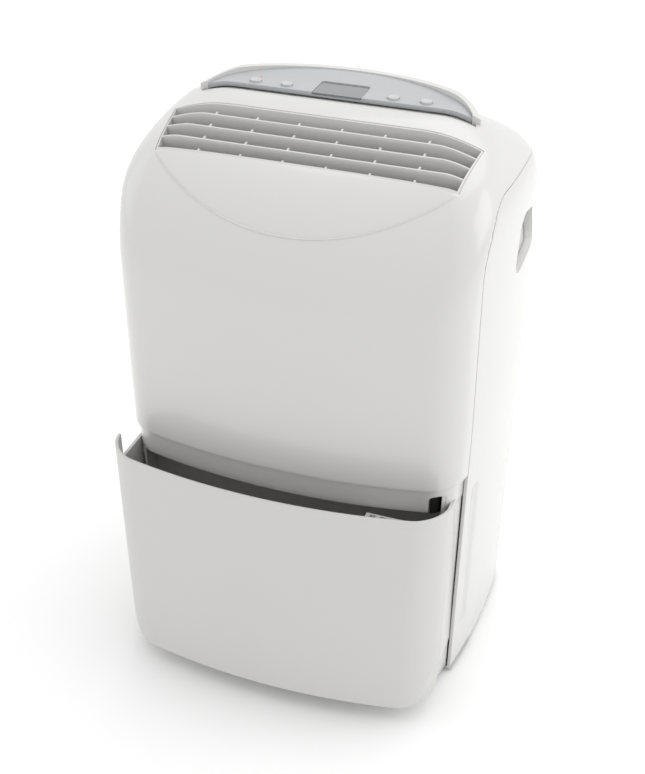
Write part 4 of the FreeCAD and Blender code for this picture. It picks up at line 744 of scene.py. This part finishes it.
class DEHUMIDIFIER_OT_cover(bpy.types.Operator):
    """Build the glossy front and top shell with its outlet opening and raised bead"""

    bl_idname = "dehumidifier.cover"
    bl_label = "Front cover"

    def execute(self, context):
        sizes = context.scene.dehumidifier_body
        shell = body_wall()
        shell.name = "cover_shell"
        keep = slab("keep", seam_outline(-sizes.seam_gap / 2, TANK_TOP_Z, True), RIGHT * 1.2)
        carve(shell, keep, "INTERSECT")
        carve(shell, slab("opening", outlet_outline(FIT, ROOF_Z - 0.12), UP * 0.2))
        carve(shell, slab("well", hump_outline(0.004, HUMP_FRONT_Y + 0.004, ROOF_Z - 0.03), UP * 0.1))
        soften(shell, CUT_ROUND)
        smooth(shell, 30)
        finish_piece(shell, "casing", "shell_gloss", "front_cover")
        self.lip(context)
        self.bead(context)
        return {"FINISHED"}

    def lip(self, context):
        """The recessed lip under the cover, rolled in from the cover's edge."""
        back, edge, wing = context.scene.dehumidifier_tank.lip_inset, TANK_TOP_Z, 0.030
        profile = [(LIP_Z, back), (LIP_Z + 0.010, back), (LIP_Z + 0.018, back), (edge - 0.0022, back),
                   (edge - 0.0006, back), (edge - 0.0001, back / 2), (edge + 0.0004, 0.0014),
                   (edge + 0.0022, 0.0006)]

        def place(u, v):
            step = v * (len(profile) - 1)
            index = min(int(step), len(profile) - 2)
            share = step - index
            (z_a, inset_a), (z_b, inset_b) = profile[index], profile[index + 1]
            return around(u, wing, z_a * (1 - share) + z_b * share, inset_a * (1 - share) + inset_b * share)

        lip = wrapped("cover_lip", 96, (len(profile) - 1) * 2, place)
        modify(lip, "SOLIDIFY", thickness=0.003, offset=-1.0, use_even_offset=True)
        low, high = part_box("switch_lever")
        left, right, y = low.x - 2 * FIT, high.x + 2 * FIT, FRONT_Y - 0.05
        foot, top, top_round = LIP_Z - 0.01, LIP_Z + 0.017, 0.005
        notch = rounded([(Vector((left, y, foot)), 0), (Vector((right, y, foot)), 0),
                         (Vector((right, y, top)), top_round), (Vector((left, y, top)), top_round)], 6)
        carve(lip, slab("notch", notch, (0, 0.15, 0)))
        soften(lip, CUT_ROUND)
        smooth(lip, 35)
        finish_piece(lip, "casing", "shell_gloss")

    def bead(self, context):
        """The fine raised arc across the front under the outlet."""
        half, thickness = 0.1355, 0.0009
        low_z = ROOF_Z - 0.071
        end_z = roof_height(half, GRILLE_LOW.y - 0.002)

        def place(u, v):
            x = (2 * u - 1) * half
            share = abs(x) / half
            z = low_z + (end_z - low_z) * share ** 2.1
            spot = reach_skin(Vector((x, 0.06, min(z, ROOF_Z - 0.02))), Vector((0, -1, 0)))
            angle = math.tau * v
            out = Vector((x * 0.6, -0.35, 0.55 * share + 0.12)).normalized()
            up = Vector((0, 0.5, 1)).normalized()
            radius = thickness * min(1.0, 14 * (1 - share) + 0.25)
            return spot + (out * math.cos(angle) * 0.8 + up * math.sin(angle)) * radius

        bead = wrapped("cover_bead", 96, 8, place)
        edit_all(bead, weld(0.00002), lambda: bpy.ops.mesh.fill_holes(sides=0), face_out)
        smooth(bead, 60)
        finish_piece(bead, "casing", "shell_gloss")


class DEHUMIDIFIER_OT_rear(bpy.types.Operator):
    """Build the back and side shell with its intake, grips and small openings"""

    bl_idname = "dehumidifier.rear"
    bl_label = "Rear casing"

    def execute(self, context):
        sizes = context.scene.dehumidifier_body
        shell = body_wall()
        shell.name = "rear_shell"
        keep = slab("keep", seam_outline(sizes.seam_gap / 2, FOOT_Z, False), RIGHT * 1.2)
        carve(shell, keep, "INTERSECT")
        low, high = INTAKE_LOW, INTAKE_HIGH
        corners = rectangle(low.x - FIT, high.x + FIT, low.z - FIT, high.z + FIT, 0)
        window = [Vector((corner.x, 0.1, corner.y)) for corner in corners]
        carve(shell, slab("window", window, (0, 0.1, 0)))
        outline = grip_outline(0.0, 0.12)
        carve(shell, slab("grip", outline, RIGHT * 0.1))
        carve(shell, slab("grip", [Vector((-p.x, p.y, p.z)) for p in outline], RIGHT * -0.1))
        gland_hole, spigot_hole, screw_head, screw_hole = 0.0091, 0.013, 0.0036, 0.0039
        holes = [((GLAND_LOW + GLAND_HIGH) / 2, gland_hole), ((SPIGOT_LOW + SPIGOT_HIGH) / 2, spigot_hole)]
        screw_z = (SCREWS_LOW.z + SCREWS_HIGH.z) / 2
        for x in (SCREWS_LOW.x + screw_head, 0.0, SCREWS_HIGH.x - screw_head):
            holes.append((Vector((x, REAR_Y, screw_z)), screw_hole))
        for centre, radius in holes:
            carve(shell, drum("hole", (centre.x, REAR_Y, centre.z), radius, 0.08, math.pi / 2, 40))
        for side in (-1, 1):
            carve(shell, self.groove(side))
        soften(shell, CUT_ROUND)
        smooth(shell, 30)
        finish_piece(shell, "casing", "shell_gloss", "rear_casing")
        for side, name in ((1, "rebate_right"), (-1, "rebate_left")):
            self.rebate(side, name)
        return {"FINISHED"}

    def groove(self, side):
        """A round-ended rod that leaves a shallow upright finger groove."""
        y, radius, depth = SEAM_Y + 0.019, 0.020, 0.0018
        low, high = [reach_skin(Vector((0, y, z)), RIGHT * side, depth) + RIGHT * side * radius
                     for z in (0.060, LIP_Z - 0.006)]
        axis = high - low
        deselect()
        bpy.ops.mesh.primitive_uv_sphere_add(segments=32, ring_count=24, radius=radius)
        rod = fresh("groove")
        turn = axis.to_track_quat("Z", "Y")
        for vertex in rod.data.vertices:
            rise = vertex.co.z / radius
            flat = Vector((vertex.co.x, vertex.co.y, vertex.co.z * 0.9))
            stretch = 0.5 if abs(rise) < 1e-4 else (0.0 if rise < 0 else 1.0)
            vertex.co = low + axis * stretch + turn @ flat
        return rod

    def rebate(self, side, name):
        """The set-back strip of the casing that the tank's wing covers when it is pushed home."""
        front_y, back_y = FRONT_Y + 0.026, SEAM_Y + 0.0005
        low, high, inset = TANK_LOW.z - 0.012, LIP_Z + 0.018, 0.0042

        def place(u, v):
            y, z = front_y + (back_y - front_y) * u, low + (high - low) * v
            return reach_skin(Vector((0, y, z)), RIGHT * side, inset)

        strip = wrapped(name, 24, 24, place)
        modify(strip, "SOLIDIFY", thickness=0.0012, offset=-1.0)
        bevel(strip, 0.0004)
        smooth(strip, 40)
        finish_piece(strip, "casing", "shell_gloss")


class DEHUMIDIFIER_OT_grips(bpy.types.Operator):
    """Build the scooped finger grips in the sides"""

    bl_idname = "dehumidifier.grips"
    bl_label = "Side grips"

    def execute(self, context):
        outline = grip_outline(0.0004, 0.0)
        count = len(outline)
        middle = sum(outline, Vector()) / count
        low_z = min(p.z for p in outline)
        tall = max(p.z for p in outline) - low_z
        deep = HALF - CUP_LOW.x - 0.003
        draw_in = 0.0022

        def place(u, v):
            spot = outline[int(round(u * count)) % count]
            rim = reach_skin(Vector((0.05, spot.y, spot.z)), RIGHT, 0.0006)
            flat = spot.lerp(middle, max(0.0, (v - 0.5) * 2))
            sink = min(v * 2, 1.0)
            height = (flat.z - low_z) / tall
            floor = deep * (0.30 + 0.70 * ease(0.15 + 0.95 * height))
            inward = draw_in * math.sin(sink * math.pi / 2) if v < 0.5 else 0.0
            draw = 1.0 - inward / max((flat - middle).length, 0.001)
            x = rim.x * (1 - ease(sink)) + (HALF - floor) * ease(sink)
            return Vector((x, middle.y + (flat.y - middle.y) * draw, middle.z + (flat.z - middle.z) * draw))

        cup = wrapped("grip_right", count, 14, place)
        edit_all(cup, weld(0.00005), face_out)
        if sum(face.normal.x for face in cup.data.polygons) < 0:
            edit_all(cup, flip)
        modify(cup, "SOLIDIFY", thickness=0.002, offset=-1.0)
        modify(cup, "SUBSURF", levels=1, render_levels=1)
        smooth(cup, 50)
        other = mirrored(cup, "grip_left")
        finish_piece(cup, "casing", "grip_plastic", "handle_cup_right")
        finish_piece(other, "casing", "grip_plastic", "handle_cup_left")
        return {"FINISHED"}


class DEHUMIDIFIER_OT_tank(bpy.types.Operator):
    """Build the tank's bowed front with its wings and rounded rim"""

    bl_idname = "dehumidifier.tank"
    bl_label = "Tank front"

    def execute(self, context):
        tank = context.scene.dehumidifier_tank
        wing = TANK_HIGH.y + TANK_PULL - FRONT_Y - WRAP
        length_round = 2 * wing + math.pi * WRAP + 2 * (HALF - WRAP)
        low, high = TANK_LOW.z, TANK_HIGH.z
        tuck_from, tuck_run = 0.128, 0.035
        crowding = 1.35  # draws the rows closer towards the bottom

        def place(u, v):
            edge = min(u, 1 - u) * length_round
            lift = 0.0
            if edge < tank.corner:
                lift = tank.corner - math.sqrt(tank.corner ** 2 - (tank.corner - edge) ** 2)
            z = low + lift + (high - low - lift) * v ** crowding
            flat = around(u, wing, z)
            side = ease((abs(flat.x) - tuck_from) / tuck_run)
            draw = tank.tuck * side * max(0.0, 1 - (z - low) / tank.tuck_height) ** 2
            return around(u, wing, z, 0.0, draw) - Vector((0, TANK_PULL, 0))

        panel = wrapped("tank_panel", 120, 36, place)
        modify(panel, "SOLIDIFY", thickness=tank.wall, offset=-1.0, use_even_offset=True)
        bevel(panel, tank.rim_round, 3)
        smooth(panel, 40)
        finish_piece(panel, "tank", "tank_shell", "tank_front")
        return {"FINISHED"}


class DEHUMIDIFIER_OT_outlet(bpy.types.Operator):
    """Build the outlet grille: a thin frame, curved blades and small ribs"""

    bl_idname = "dehumidifier.outlet"
    bl_label = "Outlet grille"

    def execute(self, context):
        sizes = context.scene.dehumidifier_outlet
        front_y, back_y = GRILLE_LOW.y, GRILLE_HIGH.y
        run = back_y - front_y
        pitch = run / (sizes.blades + 1)
        lean = math.tan(sizes.blade_lean)
        end_gap = 0.0008

        def half_at(y):
            return OUTLET_FRONT_HALF + (OUTLET_BACK_HALF - OUTLET_FRONT_HALF) * (y - front_y) / run

        pieces = []
        for row in range(1, sizes.blades + 1):
            y = front_y + row * pitch

            def blade_place(u, v, y=y):
                x = (2 * u - 1) * (half_at(y) - end_gap)
                drop = v * sizes.blade_drop
                return Vector((x, y + drop * lean, roof_height(x, y) - drop))

            blade = wrapped("blade", 72, 4, blade_place)
            modify(blade, "SOLIDIFY", thickness=sizes.blade_wall, offset=0.0)
            pieces.append(bevel(blade, 0.0006))
        outline = outlet_outline(-0.0001, 0.0)
        inner = outlet_outline(-sizes.frame_wall, 0.0)

        def ring_point(ring, u):
            place = (u % 1.0) * 4
            index = min(int(place), 3)
            return ring[index].lerp(ring[(index + 1) % 4], place - index)

        def frame_place(u, v):
            profile = ((outline, 0.016), (outline, 0.0006), (inner, 0.0002), (inner, 0.016))
            step = v * 3
            index = min(int(step), 2)
            share = step - index
            (ring_a, drop_a), (ring_b, drop_b) = profile[index], profile[index + 1]
            spot = ring_point(ring_a, u).lerp(ring_point(ring_b, u), share)
            z = roof_height(spot.x, spot.y) - (drop_a * (1 - share) + drop_b * share)
            return Vector((spot.x, spot.y, z))

        pieces.append(edit_all(wrapped("rim", 160, 3, frame_place), weld(0.00005), face_out))
        bay = 2 * half_at(front_y) / sizes.bays
        rib_half, rib_length = 0.0008, 0.0065
        for row in range(sizes.blades + 1):
            y = front_y + row * pitch
            for rib in range(1, sizes.bays):
                x = (rib - sizes.bays / 2) * bay
                z = roof_height(x, y)
                end_z = roof_height(x, y + rib_length)
                x -= rib_half
                side = [Vector((x, y, z - 0.0010)), Vector((x, y + rib_length, end_z - 0.0030)),
                        Vector((x, y + 0.0105, z - 0.013)), Vector((x, y + 0.0060, z - 0.013))]
                pieces.append(slab("rib", side, RIGHT * 2 * rib_half))
        grille = join_into(pieces[0], pieces[1:])
        grille.name = "outlet_blades"
        smooth(grille, 40)
        finish_piece(grille, "casing", "grille_plastic", "outlet_grille")
        return {"FINISHED"}


class DEHUMIDIFIER_OT_controls(bpy.types.Operator):
    """Build the raised housing, the grey fascia and the buttons"""

    bl_idname = "dehumidifier.controls"
    bl_label = "Controls"

    def execute(self, context):
        sizes = context.scene.dehumidifier_controls
        skirt = ROOF_Z - 0.034
        panel_y = HUMP_FRONT_Y + sizes.strip_depth
        floor, rise = skirt + 0.005, UP * 0.08
        hump = slab("control_housing", hump_outline(0.0, HUMP_FRONT_Y, skirt), rise)
        carve(hump, roof_cap(sizes.rise, sizes.end_rise), "INTERSECT")
        well = slab("well", hump_outline(sizes.rim, panel_y - 0.0005, floor), rise)
        carve(well, roof_cap(-0.002, -0.003))
        carve(hump, well)
        half = HUMP_HIGH.x + 0.005
        strip = slab("strip", rectangle(-half, half, HUMP_FRONT_Y - 0.05, panel_y, floor), rise)
        carve(strip, roof_cap(-sizes.strip_drop, -sizes.strip_drop))
        carve(hump, strip)
        soften(hump, sizes.edge_round, 50, 4)
        smooth(hump, 35)
        finish_piece(hump, "casing", "shell_gloss", "top_housing")
        self.fascia(context, panel_y)
        self.buttons(context)
        return {"FINISHED"}

    def fascia(self, context, panel_y):
        """The grey panel, with the display's recess and the buttons' holes."""
        sizes = context.scene.dehumidifier_controls
        low, high = PANEL_LOW.z, PANEL_HIGH.z
        panel = slab("fascia", hump_outline(sizes.rim + FIT, panel_y, low - 0.02), UP * 0.06)
        carve(panel, roof_cap(high - ROOF_Z, sizes.end_rise - 0.0012, sizes.back_rise), "INTERSECT")
        carve(panel, roof_cap(low - ROOF_Z, -0.002))
        gap = 0.0005
        corners = rectangle(WINDOW_LOW.x - gap, WINDOW_HIGH.x + gap, WINDOW_LOW.y - 0.01, WINDOW_HIGH.y + gap,
                            high - 0.0022)
        recess = rounded(list(zip(corners, (0, 0, 0.003, 0.003))), 5)
        carve(panel, slab("recess", recess, UP * 0.02))
        for name in BUTTONS:
            box_low, box_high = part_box(name)
            centre = (box_low + box_high) / 2
            radius = (box_high.x - box_low.x) / 2 + 0.0004
            carve(panel, drum("hole", (centre.x, centre.y, high), radius, 0.05))
        soften(panel, 0.0006, 50, 2)
        smooth(panel, 35)
        finish_piece(panel, "casing", "panel_grey", "control_panel")

    def buttons(self, context):
        """Round keys with a softened crown and a dished top."""
        for name in BUTTONS:
            low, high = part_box(name)
            centre, radius, depth = (low + high) / 2, (high.x - low.x) / 2, high.z - low.z
            key = drum(name.replace("_button", "_key"), centre, radius, depth)
            bpy.ops.object.mode_set(mode="EDIT")
            bpy.ops.mesh.select_mode(type="FACE")
            bpy.ops.mesh.select_all(action="DESELECT")
            bpy.ops.object.mode_set(mode="OBJECT")
            for face in key.data.polygons:
                face.select = face.normal.z > 0.9
            bpy.ops.object.mode_set(mode="EDIT")
            bpy.ops.mesh.inset(thickness=0.0012)
            bpy.ops.mesh.inset(thickness=0.0008)
            bpy.ops.transform.translate(value=(0, 0, -0.0004))
            bpy.ops.mesh.select_mode(type="VERT")
            bpy.ops.object.mode_set(mode="OBJECT")
            bevel(key, 0.0006, 3, 40)
            smooth(key, 40)
            finish_piece(key, name + "_body", "button_plastic", name)


class DEHUMIDIFIER_OT_finishes(bpy.types.Operator):
    """Give every piece of the frame its finish"""

    bl_idname = "dehumidifier.finishes"
    bl_label = "Finishes"

    def execute(self, context):
        for name, obj in frame["nodes"].items():
            if not obj.material_slots:
                pick(obj)
                bpy.ops.object.material_slot_add()
            for slot in obj.material_slots:
                slot.material = finish_of(SLOT_OF[name])
        return {"FINISHED"}


class DEHUMIDIFIER_OT_stage(bpy.types.Operator):
    """Set the pale floor, the soft lights and the camera"""

    bl_idname = "dehumidifier.stage"
    bl_label = "Stage"

    def execute(self, context):
        deselect()
        bpy.ops.mesh.primitive_plane_add(size=14.0, location=(0, 0, 0))
        floor = fresh("floor")
        material = bpy.data.materials.new("Pale floor")
        material.use_nodes = True
        shader = material.node_tree.nodes["Principled BSDF"]
        shader.inputs["Base Color"].default_value = (0.93, 0.93, 0.93, 1)
        shader.inputs["Roughness"].default_value = 0.9
        floor.data.materials.append(material)
        world = bpy.data.worlds.new("Studio")
        world.use_nodes = True
        world.node_tree.nodes["Background"].inputs["Color"].default_value = (1.0, 1.0, 1.0, 1)
        world.node_tree.nodes["Background"].inputs["Strength"].default_value = 1.0
        context.scene.world = world
        middle = Vector((0, 0, 0.28))
        for name, place, size, power in (("key", (2.2, 0.5, 1.5), 1.8, 16.0),
                                         ("left", (-2.2, -0.3, 1.2), 1.6, 4.0),
                                         ("top", (0.2, 0.9, 2.4), 1.8, 12.0)):
            deselect()
            bpy.ops.object.light_add(type="AREA", location=place)
            light = context.active_object
            light.name = name
            light.data.size = size
            light.data.energy = power
            light.rotation_euler = (middle - Vector(place)).to_track_quat("-Z", "Y").to_euler()
        self.camera(context)
        context.scene.view_settings.view_transform = "Standard"
        return {"FINISHED"}

    def camera(self, context):
        """A long lens above the right front."""
        azimuth, elevation, distance = math.radians(19.83), math.radians(33.12), 1.2936
        target = Vector((-0.0006, 0.0155, 0.2653))
        level = math.cos(elevation)
        back = Vector((math.sin(azimuth) * level, -math.cos(azimuth) * level, math.sin(elevation)))
        deselect()
        bpy.ops.object.camera_add(location=target + back * distance)
        camera = context.active_object
        camera.rotation_euler = (-back).to_track_quat("-Z", "Y").to_euler()
        camera.data.sensor_width = 36.0
        camera.data.lens = 61.38
        camera.data.dof.use_dof = False
        camera.data.clip_start = 0.05
        context.scene.camera = camera


class DEHUMIDIFIER_PT_panel(bpy.types.Panel):
    """The dehumidifier's pieces and sizes"""

    bl_label = "Dehumidifier"
    bl_idname = "DEHUMIDIFIER_PT_panel"
    bl_space_type = "VIEW_3D"
    bl_region_type = "UI"
    bl_category = "Dehumidifier"

    def draw(self, context):
        for operator in OPERATORS:
            self.layout.operator(operator.bl_idname)
        for label, group in GROUPS.items():
            box = self.layout.box()
            box.label(text=group.__doc__)
            settings = getattr(context.scene, label)
            for prop in group.__annotations__:
                box.prop(settings, prop)


OPERATORS = (DEHUMIDIFIER_OT_stage, DEHUMIDIFIER_OT_finishes, DEHUMIDIFIER_OT_cover, DEHUMIDIFIER_OT_rear,
             DEHUMIDIFIER_OT_grips, DEHUMIDIFIER_OT_tank, DEHUMIDIFIER_OT_outlet, DEHUMIDIFIER_OT_controls)
GROUPS = {
    "dehumidifier_body": BodySizes,
    "dehumidifier_tank": TankSizes,
    "dehumidifier_controls": ControlSizes,
    "dehumidifier_outlet": OutletSizes,
    "dehumidifier_finish": FinishColours,
}


def register():
    for label, group in GROUPS.items():
        bpy.utils.register_class(group)
        setattr(bpy.types.Scene, label, PointerProperty(type=group))
    for operator in OPERATORS:
        bpy.utils.register_class(operator)
    bpy.utils.register_class(DEHUMIDIFIER_PT_panel)


def unregister():
    bpy.utils.unregister_class(DEHUMIDIFIER_PT_panel)
    for operator in reversed(OPERATORS):
        bpy.utils.unregister_class(operator)
    for label, group in GROUPS.items():
        delattr(bpy.types.Scene, label)
        bpy.utils.unregister_class(group)


def main():
    """Builds everything in order."""
    register()
    bpy.ops.dehumidifier.stage()
    bpy.ops.dehumidifier.finishes()
    bpy.ops.dehumidifier.cover()
    bpy.ops.dehumidifier.rear()
    bpy.ops.dehumidifier.grips()
    bpy.ops.dehumidifier.tank()
    bpy.ops.dehumidifier.outlet()
    bpy.ops.dehumidifier.controls()


if __name__ == "__main__":
    main()
